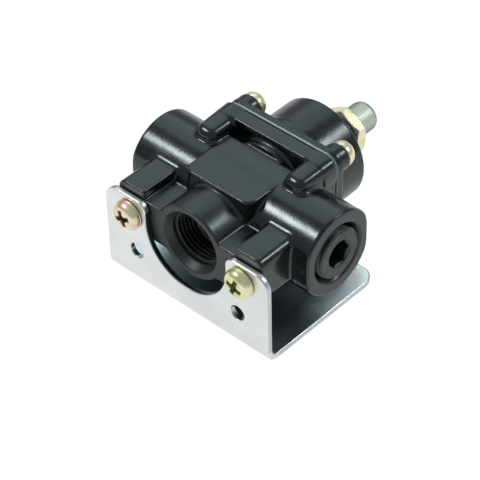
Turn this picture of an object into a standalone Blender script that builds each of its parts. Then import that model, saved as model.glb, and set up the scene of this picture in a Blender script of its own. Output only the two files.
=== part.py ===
"""A two-outlet fuel pressure regulator on its bent-sheet mounting bracket.

The frame: X runs along the two outlet ports, Y from the inlet at the front to the spring
cover at the back, and Z is up. The origin is on the bracket's underside, straight below the
point where the outlet axis crosses the axis of inlet, valve, diaphragm and spring.

How it works: fuel comes in at the front, passes the valve seat and leaves through the
outlets. The spring pushes the diaphragm forwards, and the stem that it meets holds the valve
off its seat. Fuel pressure behind the valve pushes the diaphragm back, and the valve closes.
"""

import math

import bmesh
import bpy
from mathutils import Matrix, Vector

MM = 0.001

# Fits and clearances
SEAT_GAP = 0.2 * MM
ROUND_CLEARANCE = 0.3 * MM

# The main axes
AXIS_HEIGHT = 26.85 * MM

# Mounting bracket, bent from one sheet
SHEET = 1.9 * MM
BRACKET_WIDTH = 64.0 * MM
BRACKET_HEIGHT = 32.7 * MM
BRACKET_DEPTH = 48.6 * MM
BEND_RADIUS = 4.2 * MM
TAB_OUTER_RADIUS = 5.0 * MM
TAB_INNER_RADIUS = 3.2 * MM
CUTOUT_RADIUS = 15.8 * MM
CUTOUT_DROP = 0.4 * MM
PLATE_CORNER_RADIUS = 5.0 * MM
SPARE_HOLE_RADIUS = 2.6 * MM
SPARE_HOLE_REACH = 20.2 * MM
SPARE_HOLE_HEIGHT = 13.3 * MM

# Screws that hold the casting to the bracket
BRACKET_SCREW_REACH = 22.1 * MM
BRACKET_SCREW_HEAD_RADIUS = 4.9 * MM
BRACKET_SCREW_HEAD_HEIGHT = 3.1 * MM
BRACKET_SCREW_RADIUS = 2.4 * MM
BRACKET_SCREW_LENGTH = 12.0 * MM
HEAD_WALL_SHARE = 0.42
HEAD_CROWN_SHARE = 0.58
SHANK_POINT = 0.7 * MM
RECESS_HALF_WIDTH = 0.55 * MM
RECESS_REACH_SHARE = 0.56
RECESS_FLOOR_SHARE = 0.45
RECESS_DEPTH_SHARE = 0.6
RECESS_TURN = 20.0

# Casting: the cross tube with its two outlet ports
TUBE_HALF_LENGTH = 34.9 * MM
TUBE_RADIUS = 14.1 * MM
TUBE_FLAT = 13.2 * MM
TUBE_CHAMFER = 0.6 * MM
PORT_MOUTH_RADIUS = 10.2 * MM
PORT_MOUTH_DEPTH = 1.9 * MM
PORT_DEPTH = 14.5 * MM
PASSAGE_RADIUS = 5.2 * MM
PASSAGE_CONE = 1.5 * MM

# Casting: the block where tube, inlet and neck meet
BLOCK_HALF_WIDTH = 12.9 * MM
BLOCK_FRONT = 13.4 * MM
NECK_FRONT = 7.0 * MM
BLOCK_CORNER_RADIUS = 3.3 * MM

# Casting: inlet boss, bracket bosses and the webs between them
INLET_REACH = 24.9 * MM
INLET_RADIUS = 12.6 * MM
INLET_MOUTH_RADIUS = 10.3 * MM
INLET_MOUTH_DEPTH = 1.9 * MM
INLET_DEPTH = 9.7 * MM
FOOT_INNER = 18.0 * MM
FOOT_OUTER = 28.3 * MM
FOOT_RISE = 9.0 * MM
FOOT_DROP = 7.0 * MM
FOOT_CORNER_RADIUS = 3.0 * MM
WEB_HALF_HEIGHT = 5.85 * MM

# Casting: diaphragm flange, its neck and the screw lugs that run forward over the tube
FLANGE_FRONT = 9.3 * MM
FLANGE_THICKNESS = 5.0 * MM
FLANGE_HALF_WIDTH = 21.65 * MM
FLANGE_HALF_HEIGHT = 18.15 * MM
FLANGE_CORNER_RADIUS = 4.6 * MM
NECK_RADIUS = 15.7 * MM
NECK_FILLET = 1.1 * MM
SCREW_INSET = 4.3 * MM
LUG_RADIUS = 4.2 * MM
LUG_NOSE_REACH = 0.7 * MM
LUG_NOSE_RADIUS = 2.9 * MM

# Spring cover and its screws
COVER_PLATE = 2.2 * MM
EAR_RADIUS = 4.15 * MM
EAR_LENGTH = 2.6 * MM
EAR_WEB_STEP = 0.6 * MM
EAR_WEB_HALF_SHARE = 0.62
EAR_WEB_REACH_SHARE = 1.72
DOME_START = 0.4 * MM
DOME_RADIUS = 16.4 * MM
DOME_LENGTH = 15.7 * MM
DOME_EDGE_RADIUS = 1.0 * MM
DOME_WALL = 2.3 * MM
ADJUSTER_BOSS_RADIUS = 6.9 * MM
ADJUSTER_BOSS_LENGTH = 7.8 * MM
ADJUSTER_BOSS_CHAMFER = 0.5 * MM
VENT_RADIUS = 0.8 * MM
COVER_SCREW_HEAD_RADIUS = 4.4 * MM
COVER_SCREW_HEAD_HEIGHT = 3.9 * MM
COVER_SCREW_RADIUS = 2.05 * MM
COVER_SCREW_LENGTH = 15.6 * MM

# Outlet plug
PLUG_RADIUS = 8.55 * MM
PLUG_LENGTH = 10.4 * MM
PLUG_PROUD = 0.6 * MM
PLUG_TAPER = 1.0 / 32.0
PLUG_CHAMFER = 0.7 * MM
PLUG_SOCKET_ACROSS_FLATS = 7.94 * MM
PLUG_SOCKET_DEPTH = 6.4 * MM
SOCKET_POINT_SHARE = 0.35
SOCKET_POINT_DEPTH_SHARE = 0.15

# Diaphragm and what is riveted to it
DIAPHRAGM_THICKNESS = 0.8 * MM
CHAMBER_RADIUS = 14.0 * MM
CHAMBER_DEPTH = 4.4 * MM
CHAMBER_CONE = 2.0 * MM
ROLL_HEIGHT = 1.1 * MM
FRONT_PLATE_RADIUS = 9.6 * MM
FRONT_PLATE_THICKNESS = 1.0 * MM
BACK_PLATE_RADIUS = 10.3 * MM
BACK_PLATE_THICKNESS = 0.9 * MM
BACK_PLATE_RIM = 1.8 * MM
PLATE_EDGE = 0.3 * MM
RIVET_RADIUS = 1.9 * MM
RIVET_HEAD_RADIUS = 3.9 * MM
RIVET_HEAD_HEIGHT = 1.4 * MM
THROAT_RADIUS = 7.0 * MM

# Pressure spring, its button and the adjusting screw
SPRING_WIRE = 1.3 * MM
SPRING_RADIUS = 7.7 * MM
SPRING_LENGTH = 10.3 * MM
SPRING_TURNS = 4.5
BUTTON_RADIUS = 9.0 * MM
BUTTON_THICKNESS = 1.8 * MM
BUTTON_PILOT_RADIUS = 6.6 * MM
BUTTON_PILOT_HEIGHT = 1.2 * MM
BUTTON_PILOT_CHAMFER = 0.5 * MM
BUTTON_DIMPLE = 0.7 * MM
ADJUSTER_RADIUS = 4.76 * MM
ADJUSTER_OUT = 54.0 * MM
ADJUSTER_END_RADIUS = 1.4 * MM
ADJUSTER_TIP_RADIUS = 2.2 * MM
ADJUSTER_TIP_HEIGHT = 0.5 * MM
ADJUSTER_TIP_CONE = 1.0 * MM
ADJUSTER_SOCKET_ACROSS_FLATS = 4.76 * MM
ADJUSTER_SOCKET_DEPTH = 4.0 * MM
NUT_ACROSS_FLATS = 14.29 * MM
NUT_THICKNESS = 4.0 * MM
NUT_CHAMFER_ANGLE = math.radians(30.0)
NUT_CHAMFER_OVERSHOOT = 0.2 * MM

# Inlet valve: seat insert, washer, valve, its facing, spring and cage
CHAMBER_BORE_RADIUS = 6.2 * MM
SEAT_SHOULDER = 6.7 * MM
WASHER_THICKNESS = 0.5 * MM
SEAT_FLANGE_RADIUS = 5.7 * MM
SEAT_FLANGE_THICKNESS = 1.1 * MM
SEAT_SHANK_RADIUS = 4.2 * MM
SEAT_SHANK_LENGTH = 4.0 * MM
SEAT_BORE_RADIUS = 2.4 * MM
SEAT_LIP_RADIUS = 3.2 * MM
SEAT_LIP_HEIGHT = 0.6 * MM
SEAT_EDGE = 0.4 * MM
VALVE_LIFT = 1.0 * MM
FACING_RADIUS = 3.6 * MM
FACING_THICKNESS = 0.8 * MM
VALVE_HEAD_RADIUS = 3.9 * MM
VALVE_HEAD_THICKNESS = 0.7 * MM
VALVE_HUB_HEIGHT = 0.9 * MM
STEM_RADIUS = 0.95 * MM
STEM_CHAMFER = 0.3 * MM
GUIDE_RADIUS = 2.05 * MM
GUIDE_WING = 0.9 * MM
GUIDE_LENGTH = 5.0 * MM
VALVE_SPRING_WIRE = 0.45 * MM
VALVE_SPRING_RADIUS = 2.7 * MM
VALVE_SPRING_LENGTH = 2.0 * MM
VALVE_SPRING_TURNS = 3.0
CAGE_RADIUS = 5.9 * MM
CAGE_PLATE = 0.6 * MM
CAGE_RIM_HEIGHT = 2.0 * MM
CAGE_RIM_WALL = 0.6 * MM
CAGE_EDGE = 0.3 * MM
CAGE_HOLE_RADIUS = 1.35 * MM
CAGE_HOLE_REACH = 3.8 * MM
CAGE_HOLE_COUNT = 4

# Facets of round forms
COARSE = 16
MEDIUM = 24
FINE = 36
DIAPHRAGM_STEPS = 44
SPRING_STEPS = 16
VALVE_SPRING_STEPS = 12
WIRE_STEPS = 6
CORNER_STEPS = 4

# Places that follow from the sizes above, as distances along Y
CASTING_FRONT = -INLET_REACH
BRACKET_BACK_FACE = CASTING_FRONT - SEAT_GAP
BRACKET_FRONT_FACE = BRACKET_BACK_FACE - SHEET
FLANGE_BACK = FLANGE_FRONT + FLANGE_THICKNESS
DIAPHRAGM_FRONT = FLANGE_BACK + SEAT_GAP
DIAPHRAGM_BACK = DIAPHRAGM_FRONT + DIAPHRAGM_THICKNESS
COVER_FRONT = DIAPHRAGM_BACK + SEAT_GAP
COVER_PLATE_BACK = COVER_FRONT + COVER_PLATE
EAR_END = COVER_PLATE_BACK + EAR_LENGTH
DOME_END = COVER_PLATE_BACK + DOME_LENGTH
BOSS_END = DOME_END + ADJUSTER_BOSS_LENGTH
SCREW_REACH_X = FLANGE_HALF_WIDTH - SCREW_INSET
SCREW_REACH_Z = FLANGE_HALF_HEIGHT - SCREW_INSET
BACK_PLATE_FRONT = DIAPHRAGM_BACK + SEAT_GAP
BACK_PLATE_BACK = BACK_PLATE_FRONT + BACK_PLATE_THICKNESS
FRONT_PLATE_BACK = DIAPHRAGM_FRONT - SEAT_GAP
FRONT_PLATE_FRONT = FRONT_PLATE_BACK - FRONT_PLATE_THICKNESS
RIVET_FRONT = FRONT_PLATE_FRONT - SEAT_GAP - RIVET_HEAD_HEIGHT
SPRING_FRONT = BACK_PLATE_BACK + SEAT_GAP
SPRING_BACK = SPRING_FRONT + SPRING_LENGTH
BUTTON_FRONT = SPRING_BACK + SEAT_GAP
BUTTON_BACK = BUTTON_FRONT + BUTTON_THICKNESS
ADJUSTER_IN = BUTTON_BACK + SEAT_GAP
SEAT_FLANGE_BACK = -SEAT_SHOULDER - SEAT_GAP - WASHER_THICKNESS - SEAT_GAP
SEAT_FLANGE_FRONT = SEAT_FLANGE_BACK - SEAT_FLANGE_THICKNESS
SEAT_LIP = SEAT_FLANGE_FRONT - SEAT_LIP_HEIGHT
FACING_BACK = SEAT_LIP - SEAT_GAP - VALVE_LIFT
FACING_FRONT = FACING_BACK - FACING_THICKNESS
VALVE_HEAD_BACK = FACING_FRONT - SEAT_GAP
VALVE_HEAD_FRONT = VALVE_HEAD_BACK - VALVE_HEAD_THICKNESS
VALVE_SPRING_BACK = VALVE_HEAD_FRONT - SEAT_GAP
VALVE_SPRING_FRONT = VALVE_SPRING_BACK - VALVE_SPRING_LENGTH
CAGE_PLATE_BACK = VALVE_SPRING_FRONT - SEAT_GAP
CAGE_PLATE_FRONT = CAGE_PLATE_BACK - CAGE_PLATE
STEM_END = RIVET_FRONT - SEAT_GAP


def clear_scene():
    """Removes every object, so that the script starts from nothing."""
    for thing in list(bpy.data.objects):
        bpy.data.objects.remove(thing, do_unlink=True)


def make_material(name, colour, roughness, metallic):
    """A Principled material with one finish."""
    material = bpy.data.materials.new(name)
    material.use_nodes = True
    shader = material.node_tree.nodes["Principled BSDF"]
    shader.inputs["Base Color"].default_value = (*colour, 1.0)
    shader.inputs["Roughness"].default_value = roughness
    shader.inputs["Metallic"].default_value = metallic
    material.diffuse_color = (*colour, 1.0)
    return material


# Outlines in a plane, as lists of (u, v)


def arc(centre, radius, start, end, steps):
    """Points along an arc from one angle to another, both ends included, angles in degrees."""
    points = []
    for step in range(steps + 1):
        angle = math.radians(start + (end - start) * step / steps)
        points.append((centre[0] + radius * math.cos(angle), centre[1] + radius * math.sin(angle)))
    return points


def circle(centre, radius, steps):
    """A full circle, its last point not repeated."""
    return arc(centre, radius, 0.0, 360.0, steps)[:-1]


def rounded_box(low, high, radii, steps=CORNER_STEPS):
    """A rectangle whose corners are rounded in the order high-high, low-high, low-low, high-low."""
    corners = (
        (high[0], high[1], -1, -1, 0.0),
        (low[0], high[1], 1, -1, 90.0),
        (low[0], low[1], 1, 1, 180.0),
        (high[0], low[1], -1, 1, 270.0),
    )
    points = []
    for (u, v, towards_u, towards_v, start), radius in zip(corners, radii):
        if radius <= 0.0:
            points.append((u, v))
            continue
        centre = (u + towards_u * radius, v + towards_v * radius)
        points += arc(centre, radius, start, start + 90.0, steps)
    return points


def hexagon(across_flats, start=30.0):
    """A regular hexagon about the origin."""
    return arc((0.0, 0.0), across_flats / math.sqrt(3.0), start, start + 360.0, 6)[:-1]


def tube_outline(inset=0.0, steps=14):
    """The cross tube's section in (y, z): a circle with a flat at its front and its back."""
    radius = TUBE_RADIUS - inset
    flat = TUBE_FLAT - inset
    edge = math.degrees(math.acos(flat / radius))
    top = arc((0.0, AXIS_HEIGHT), radius, edge, 180.0 - edge, steps)
    bottom = arc((0.0, AXIS_HEIGHT), radius, 180.0 + edge, 360.0 - edge, steps)
    return top + bottom


def bracket_front_outline():
    """The bracket seen from the front: full width at the foot, two tabs beside a U."""
    half = BRACKET_WIDTH / 2
    below = -SHEET
    outline = [(half, below)]
    outline += arc((half - TAB_OUTER_RADIUS, BRACKET_HEIGHT - TAB_OUTER_RADIUS), TAB_OUTER_RADIUS, 0, 90, 6)
    outline += arc((CUTOUT_RADIUS + TAB_INNER_RADIUS, BRACKET_HEIGHT - TAB_INNER_RADIUS),
                   TAB_INNER_RADIUS, 90, 180, 5)
    outline += arc((0.0, AXIS_HEIGHT - CUTOUT_DROP), CUTOUT_RADIUS, 0, -180, 24)
    outline += arc((-CUTOUT_RADIUS - TAB_INNER_RADIUS, BRACKET_HEIGHT - TAB_INNER_RADIUS),
                   TAB_INNER_RADIUS, 0, 90, 5)
    outline += arc((-half + TAB_OUTER_RADIUS, BRACKET_HEIGHT - TAB_OUTER_RADIUS), TAB_OUTER_RADIUS, 90, 180, 6)
    outline.append((-half, below))
    return outline


def flange_outline():
    """The diaphragm flange, which the diaphragm and the cover plate repeat, in (x, z)."""
    low = (-FLANGE_HALF_WIDTH, AXIS_HEIGHT - FLANGE_HALF_HEIGHT)
    high = (FLANGE_HALF_WIDTH, AXIS_HEIGHT + FLANGE_HALF_HEIGHT)
    return rounded_box(low, high, [FLANGE_CORNER_RADIUS] * 4)


def flange_reach(angle):
    """How far the flange's outline lies from its middle at an angle: a side, or a corner's arc."""
    along = Vector((abs(math.cos(angle)), abs(math.sin(angle))))
    sides = [FLANGE_HALF_WIDTH / max(along.x, 1e-9), FLANGE_HALF_HEIGHT / max(along.y, 1e-9)]
    corner = Vector((FLANGE_HALF_WIDTH, FLANGE_HALF_HEIGHT)) - Vector([FLANGE_CORNER_RADIUS] * 2)
    reach = min(sides)
    if along.x * reach > corner.x and along.y * reach > corner.y:
        middle = along.dot(corner)
        reach = middle + math.sqrt(middle**2 - corner.length_squared + FLANGE_CORNER_RADIUS**2)
    return reach


# Solids, each as a bmesh in world coordinates


def finish(mesh):
    """Faces turned outwards."""
    bmesh.ops.recalc_face_normals(mesh, faces=mesh.faces)
    return mesh


def place(axis, u, v, along):
    """A point of a section at a distance along an axis: (y, z) across X, (x, z) across Y, (x, y) across Z."""
    return {"X": (along, u, v), "Y": (u, along, v), "Z": (u, v, along)}[axis]


def loft(rings, closed=False):
    """A skin over rings of equal point counts, capped at both ends or closed round."""
    mesh = bmesh.new()
    made = [[mesh.verts.new(point) for point in ring] for ring in rings]
    count = len(made[0])
    pairs = list(zip(made, made[1:]))
    if closed:
        pairs.append((made[-1], made[0]))
    for first, second in pairs:
        for index in range(count):
            following = (index + 1) % count
            mesh.faces.new((first[index], first[following], second[following], second[index]))
    if not closed:
        mesh.faces.new(made[0])
        mesh.faces.new(made[-1])
    return finish(mesh)


def prism(outline, axis, start, end):
    """An outline pushed along an axis."""
    return loft([[place(axis, u, v, along) for u, v in outline] for along in (start, end)])


def box(low, high):
    """A plain block between two corners."""
    outline = [(low[0], low[1]), (high[0], low[1]), (high[0], high[1]), (low[0], high[1])]
    return prism(outline, "Z", low[2], high[2])


def turned(profile, axis, centre, steps=FINE, ring=False):
    """A profile of (radius, along) turned about an axis through centre.

    A profile that starts and ends at radius 0 gives a full body, and ring=True joins its last
    point to its first, for a body with a bore.
    """
    mesh = bmesh.new()
    rows = []
    for radius, along in profile:
        if radius <= 0.0:
            rows.append([mesh.verts.new(place(axis, centre[0], centre[1], along))])
        else:
            points = circle(centre, radius, steps)
            rows.append([mesh.verts.new(place(axis, u, v, along)) for u, v in points])
    pairs = list(zip(rows, rows[1:]))
    if ring:
        pairs.append((rows[-1], rows[0]))
    for first, second in pairs:
        for index in range(steps):
            following = (index + 1) % steps
            if len(first) == 1 and len(second) == 1:
                continue
            if len(first) == 1:
                mesh.faces.new((first[0], second[following], second[index]))
            elif len(second) == 1:
                mesh.faces.new((first[index], first[following], second[0]))
            else:
                mesh.faces.new((first[index], first[following], second[following], second[index]))
    return finish(mesh)


def cylinder(axis, centre, radius, start, end, steps=FINE, chamfer=0.0):
    """A round bar, with the same chamfer at both ends where one is given."""
    if chamfer <= 0.0:
        profile = [(0.0, start), (radius, start), (radius, end), (0.0, end)]
    else:
        profile = [(0.0, start), (radius - chamfer, start), (radius, start + chamfer)]
        profile += [(radius, end - chamfer), (radius - chamfer, end), (0.0, end)]
    return turned(profile, axis, centre, steps)


def coil(centre, radius, wire, start, end, turns, steps, sides):
    """A compression spring along Y whose first and last turns lie closed against their neighbours.

    The wire's middle climbs by just over one wire in each end turn, and the turns between them
    share the rest of the length evenly.
    """
    closed_pitch = wire * 1.06
    low = start + wire / 2
    high = end - wire / 2
    open_pitch = (high - low - 2 * closed_pitch) / (turns - 2)
    rings = []
    for step in range(round(turns * steps) + 1):
        turn = step / steps
        climb = closed_pitch * min(turn, 1.0) + open_pitch * min(max(turn - 1.0, 0.0), turns - 2)
        climb += closed_pitch * max(turn - (turns - 1), 0.0)
        angle = turn * math.tau
        ring = []
        for side in range(sides):
            around = math.tau * side / sides
            reach = radius + wire / 2 * math.cos(around)
            along = low + climb + wire / 2 * math.sin(around)
            ring.append((centre[0] + reach * math.cos(angle), along, centre[1] + reach * math.sin(angle)))
        rings.append(ring)
    return loft(rings)


# Objects


def add_object(name, mesh, material, origin=(0.0, 0.0, 0.0), parent=None):
    """One named object, its mesh placed about its own origin."""
    mesh.transform(Matrix.Translation(-Vector(origin)))
    data = bpy.data.meshes.new(name)
    mesh.to_mesh(data)
    mesh.free()
    data.shade_smooth()
    data.set_sharp_from_angle(angle=math.radians(32.0))
    if material is not None:
        data.materials.append(material)
    thing = bpy.data.objects.new(name, data)
    bpy.context.scene.collection.objects.link(thing)
    if parent is None:
        thing.location = origin
    else:
        thing.parent = parent
        thing.location = Vector(origin) - joint_place(parent)
    return thing


def joint_place(empty):
    """Where an empty stands, its parents' places added."""
    here = Vector(empty.location)
    while empty.parent is not None:
        empty = empty.parent
        here += Vector(empty.location)
    return here


def add_joint(name, origin, parent=None):
    """An empty on a joint's axis, which the pieces that move on it hang from."""
    empty = bpy.data.objects.new(name, None)
    empty.empty_display_size = 5 * MM
    bpy.context.scene.collection.objects.link(empty)
    if parent is None:
        empty.location = origin
    else:
        empty.parent = parent
        empty.location = Vector(origin) - joint_place(parent)
    return empty


def combine(thing, mesh, operation, name):
    """Joins a helper solid to an object, cuts it out of it, or keeps only what both hold."""
    helper = add_object(f"{thing.name}_{name}", mesh, None)
    helper.hide_render = True
    helper.display_type = "WIRE"
    modifier = thing.modifiers.new(name, "BOOLEAN")
    modifier.operation = operation
    modifier.solver = "EXACT"
    modifier.object = helper


def join(thing, mesh, name):
    combine(thing, mesh, "UNION", name)


def cut(thing, mesh, name):
    combine(thing, mesh, "DIFFERENCE", name)


def keep(thing, mesh, name):
    combine(thing, mesh, "INTERSECT", name)


AXIS = (0.0, AXIS_HEIGHT)
SIDES = {"left": -1, "right": 1}
HEIGHTS = {"upper": 1, "lower": -1}


def screw_places():
    """The four cover screws: a name and a centre in (x, z) for each."""
    places = {}
    for height, up in HEIGHTS.items():
        for side, across in SIDES.items():
            centre = (across * SCREW_REACH_X, AXIS_HEIGHT + up * SCREW_REACH_Z)
            places[f"{height}_{side}"] = centre
    return places


# The bracket and its screws


def build_bracket(zinc):
    """An angle bent from sheet, cut to its front outline and to its plan, and punched."""
    back = BRACKET_FRONT_FACE + BRACKET_DEPTH
    bend = (BRACKET_FRONT_FACE + BEND_RADIUS, BEND_RADIUS)
    section = arc(bend, BEND_RADIUS, 180, 270, 8)
    section += [(back, 0.0), (back, SHEET)]
    section += arc(bend, BEND_RADIUS - SHEET, 270, 180, 8)
    section += [(BRACKET_BACK_FACE, BRACKET_HEIGHT), (BRACKET_FRONT_FACE, BRACKET_HEIGHT)]
    half = BRACKET_WIDTH / 2
    beyond = 2 * SHEET
    bracket = add_object("mounting_bracket", prism(section, "X", -half - beyond, half + beyond), zinc)
    front = prism(bracket_front_outline(), "Y", BRACKET_FRONT_FACE - beyond, back + beyond)
    keep(bracket, front, "front_outline")
    for side, across in SIDES.items():
        middle = (half - PLATE_CORNER_RADIUS, back - PLATE_CORNER_RADIUS)
        corner = arc(middle, PLATE_CORNER_RADIUS, 0, 90, 6)
        corner += [(middle[0], back + beyond), (half + beyond, back + beyond), (half + beyond, middle[1])]
        corner = [(across * u, v) for u, v in corner]
        cut(bracket, prism(corner, "Z", -beyond, 2 * beyond), f"rear_corner_{side}")
    start = BRACKET_FRONT_FACE - SHEET
    end = BRACKET_BACK_FACE + SHEET
    for side, across in SIDES.items():
        centre = (across * BRACKET_SCREW_REACH, AXIS_HEIGHT)
        radius = BRACKET_SCREW_RADIUS + ROUND_CLEARANCE
        cut(bracket, cylinder("Y", centre, radius, start, end, COARSE), f"screw_hole_{side}")
        centre = (across * SPARE_HOLE_REACH, SPARE_HOLE_HEIGHT)
        cut(bracket, cylinder("Y", centre, SPARE_HOLE_RADIUS, start, end, COARSE), f"spare_hole_{side}")


def cross_recess(centre, face, depth, reach, out):
    """The two tapered blades of a cross recess, sunk from a head's top face along Y."""
    blades = []
    wide = RECESS_HALF_WIDTH
    above = face + out * MM
    below = face - out * depth
    for turned_by in (0.0, 90.0):
        rings = []
        for along, length in ((above, reach), (below, reach * RECESS_FLOOR_SHARE)):
            corners = [(length, wide), (-length, wide), (-length, -wide), (length, -wide)]
            angle = math.radians(turned_by + RECESS_TURN)
            ring = []
            for u, v in corners:
                x = centre[0] + u * math.cos(angle) - v * math.sin(angle)
                z = centre[1] + u * math.sin(angle) + v * math.cos(angle)
                ring.append((x, along, z))
            rings.append(ring)
        blades.append(loft(rings))
    return blades


def build_pan_screw(name, centre, seat, out, head, shank, material):
    """A pan-head screw along Y whose head sits on a seat; out is the way that its head faces."""
    head_radius, head_height = head
    shank_radius, shank_length = shank
    base = seat + out * SEAT_GAP
    wall = head_height * HEAD_WALL_SHARE
    crown = head_radius * HEAD_CROWN_SHARE
    profile = [(0.0, base - out * shank_length)]
    profile += [(shank_radius * 0.7, base - out * shank_length)]
    profile += [(shank_radius, base - out * (shank_length - SHANK_POINT)), (shank_radius, base)]
    profile += [(head_radius, base)]
    for step in range(5):
        angle = math.pi / 2 * step / 4
        reach = head_radius - crown * (1.0 - math.cos(angle))
        rise = wall + (head_height - wall) * math.sin(angle)
        profile.append((reach, base + out * rise))
    profile.append((0.0, base + out * head_height))
    screw = add_object(name, turned(profile, "Y", centre, COARSE), material)
    top = base + out * head_height
    depth = head_height * RECESS_DEPTH_SHARE
    recess = cross_recess(centre, top, depth, head_radius * RECESS_REACH_SHARE, out)
    for blade, mesh in zip(("first_blade", "second_blade"), recess):
        cut(screw, mesh, blade)


def build_bracket_screws(chromate):
    """The two screws that go through the bracket's tabs into the casting."""
    head = (BRACKET_SCREW_HEAD_RADIUS, BRACKET_SCREW_HEAD_HEIGHT)
    shank = (BRACKET_SCREW_RADIUS, BRACKET_SCREW_LENGTH)
    for side, across in SIDES.items():
        centre = (across * BRACKET_SCREW_REACH, AXIS_HEIGHT)
        build_pan_screw(f"bracket_screw_{side}", centre, BRACKET_FRONT_FACE, -1, head, shank, chromate)


# The casting


def lug(centre):
    """A round screw lug that runs forward from the flange to a rounded nose."""
    profile = [(0.0, -LUG_NOSE_REACH)]
    for step in range(5):
        angle = math.pi / 2 * step / 4
        reach = LUG_RADIUS - LUG_NOSE_RADIUS * (1.0 - math.sin(angle))
        profile.append((reach, -LUG_NOSE_REACH + LUG_NOSE_RADIUS * (1.0 - math.cos(angle))))
    inside = FLANGE_FRONT + FLANGE_THICKNESS / 2
    profile += [(LUG_RADIUS, inside), (0.0, inside)]
    return turned(profile, "Y", centre, MEDIUM)


def add_casting_forms(casting):
    """Everything that is cast on round the cross tube."""
    low = (-BLOCK_HALF_WIDTH, -BLOCK_FRONT)
    high = (BLOCK_HALF_WIDTH, NECK_FRONT + NECK_FILLET / 2)
    plan = rounded_box(low, high, [0.0, 0.0, BLOCK_CORNER_RADIUS, BLOCK_CORNER_RADIUS])
    block = prism(plan, "Z", AXIS_HEIGHT - TUBE_RADIUS, AXIS_HEIGHT + TUBE_RADIUS)
    join(casting, block, "block")
    join(casting, cylinder("Y", AXIS, INLET_RADIUS, CASTING_FRONT, 0.0), "inlet_boss")
    for side, across in SIDES.items():
        near = min(across * FOOT_INNER, across * FOOT_OUTER)
        far = max(across * FOOT_INNER, across * FOOT_OUTER)
        low = (near, AXIS_HEIGHT - FOOT_DROP)
        high = (far, AXIS_HEIGHT + FOOT_RISE)
        radius = FOOT_CORNER_RADIUS
        radii = [radius, 0.0, 0.0, radius] if across > 0 else [0.0, radius, radius, 0.0]
        foot = prism(rounded_box(low, high, radii), "Y", CASTING_FRONT, -PASSAGE_RADIUS)
        join(casting, foot, f"foot_{side}")
        inner = INLET_RADIUS * 0.7
        outer = FOOT_INNER + FOOT_CORNER_RADIUS
        near = min(across * inner, across * outer)
        far = max(across * inner, across * outer)
        web_low = (near, CASTING_FRONT, AXIS_HEIGHT - WEB_HALF_HEIGHT)
        web_high = (far, -PASSAGE_RADIUS, AXIS_HEIGHT + WEB_HALF_HEIGHT)
        join(casting, box(web_low, web_high), f"web_{side}")
    neck = [(0.0, NECK_FRONT), (NECK_RADIUS, NECK_FRONT)]
    for step in range(5):
        angle = math.pi / 2 * step / 4
        reach = NECK_RADIUS + NECK_FILLET * (1.0 - math.cos(angle))
        neck.append((reach, FLANGE_FRONT - NECK_FILLET * (1.0 - math.sin(angle))))
    inside = FLANGE_FRONT + FLANGE_THICKNESS / 2
    neck += [(NECK_RADIUS + NECK_FILLET, inside), (0.0, inside)]
    join(casting, turned(neck, "Y", AXIS), "neck")
    join(casting, prism(flange_outline(), "Y", FLANGE_FRONT, FLANGE_BACK), "flange")
    for name, centre in screw_places().items():
        join(casting, lug(centre), f"lug_{name}")


def mouth(face, out, radius, bore, depth):
    """The start of a port's cutter: a cone of one radius at the face, down to the thread bore."""
    above = MM
    wide = radius + (radius - bore) / depth * above
    return [(0.0, face + out * above), (wide, face + out * above), (bore, face - out * depth)]


def port_cutter(side):
    """An outlet's mouth, thread bore and drilled passage, cut from its end of the tube."""
    face = side * TUBE_HALF_LENGTH
    bore = PLUG_RADIUS + ROUND_CLEARANCE
    profile = mouth(face, side, PORT_MOUTH_RADIUS, bore, PORT_MOUTH_DEPTH)
    profile += [(bore, face - side * PORT_DEPTH)]
    profile += [(PASSAGE_RADIUS, face - side * (PORT_DEPTH + PASSAGE_CONE)), (PASSAGE_RADIUS, -side * MM)]
    profile += [(0.0, -side * MM)]
    return turned(profile, "X", (0.0, AXIS_HEIGHT))


def inlet_cutter():
    """The inlet's mouth, thread bore, valve chamber and the hole for the seat insert."""
    bore = PLUG_RADIUS + ROUND_CLEARANCE
    profile = mouth(CASTING_FRONT, -1, INLET_MOUTH_RADIUS, bore, INLET_MOUTH_DEPTH)
    profile += [(bore, CASTING_FRONT + INLET_DEPTH)]
    profile += [(CHAMBER_BORE_RADIUS, CASTING_FRONT + INLET_DEPTH), (CHAMBER_BORE_RADIUS, -SEAT_SHOULDER)]
    seat_hole = SEAT_SHANK_RADIUS + ROUND_CLEARANCE
    profile += [(seat_hole, -SEAT_SHOULDER), (seat_hole, 0.0), (0.0, 0.0)]
    return turned(profile, "Y", AXIS)


def diaphragm_cutter():
    """The chamber in front of the diaphragm and the throat that joins it to the passages."""
    floor = FLANGE_BACK - CHAMBER_DEPTH
    profile = [(0.0, 0.0), (THROAT_RADIUS * 0.6, 0.0), (THROAT_RADIUS, PASSAGE_RADIUS * 0.8)]
    profile += [(THROAT_RADIUS, floor), (CHAMBER_RADIUS - CHAMBER_CONE, floor)]
    profile += [(CHAMBER_RADIUS, floor + CHAMBER_CONE)]
    profile += [(CHAMBER_RADIUS, FLANGE_BACK + MM), (0.0, FLANGE_BACK + MM)]
    return turned(profile, "Y", AXIS)


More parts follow.
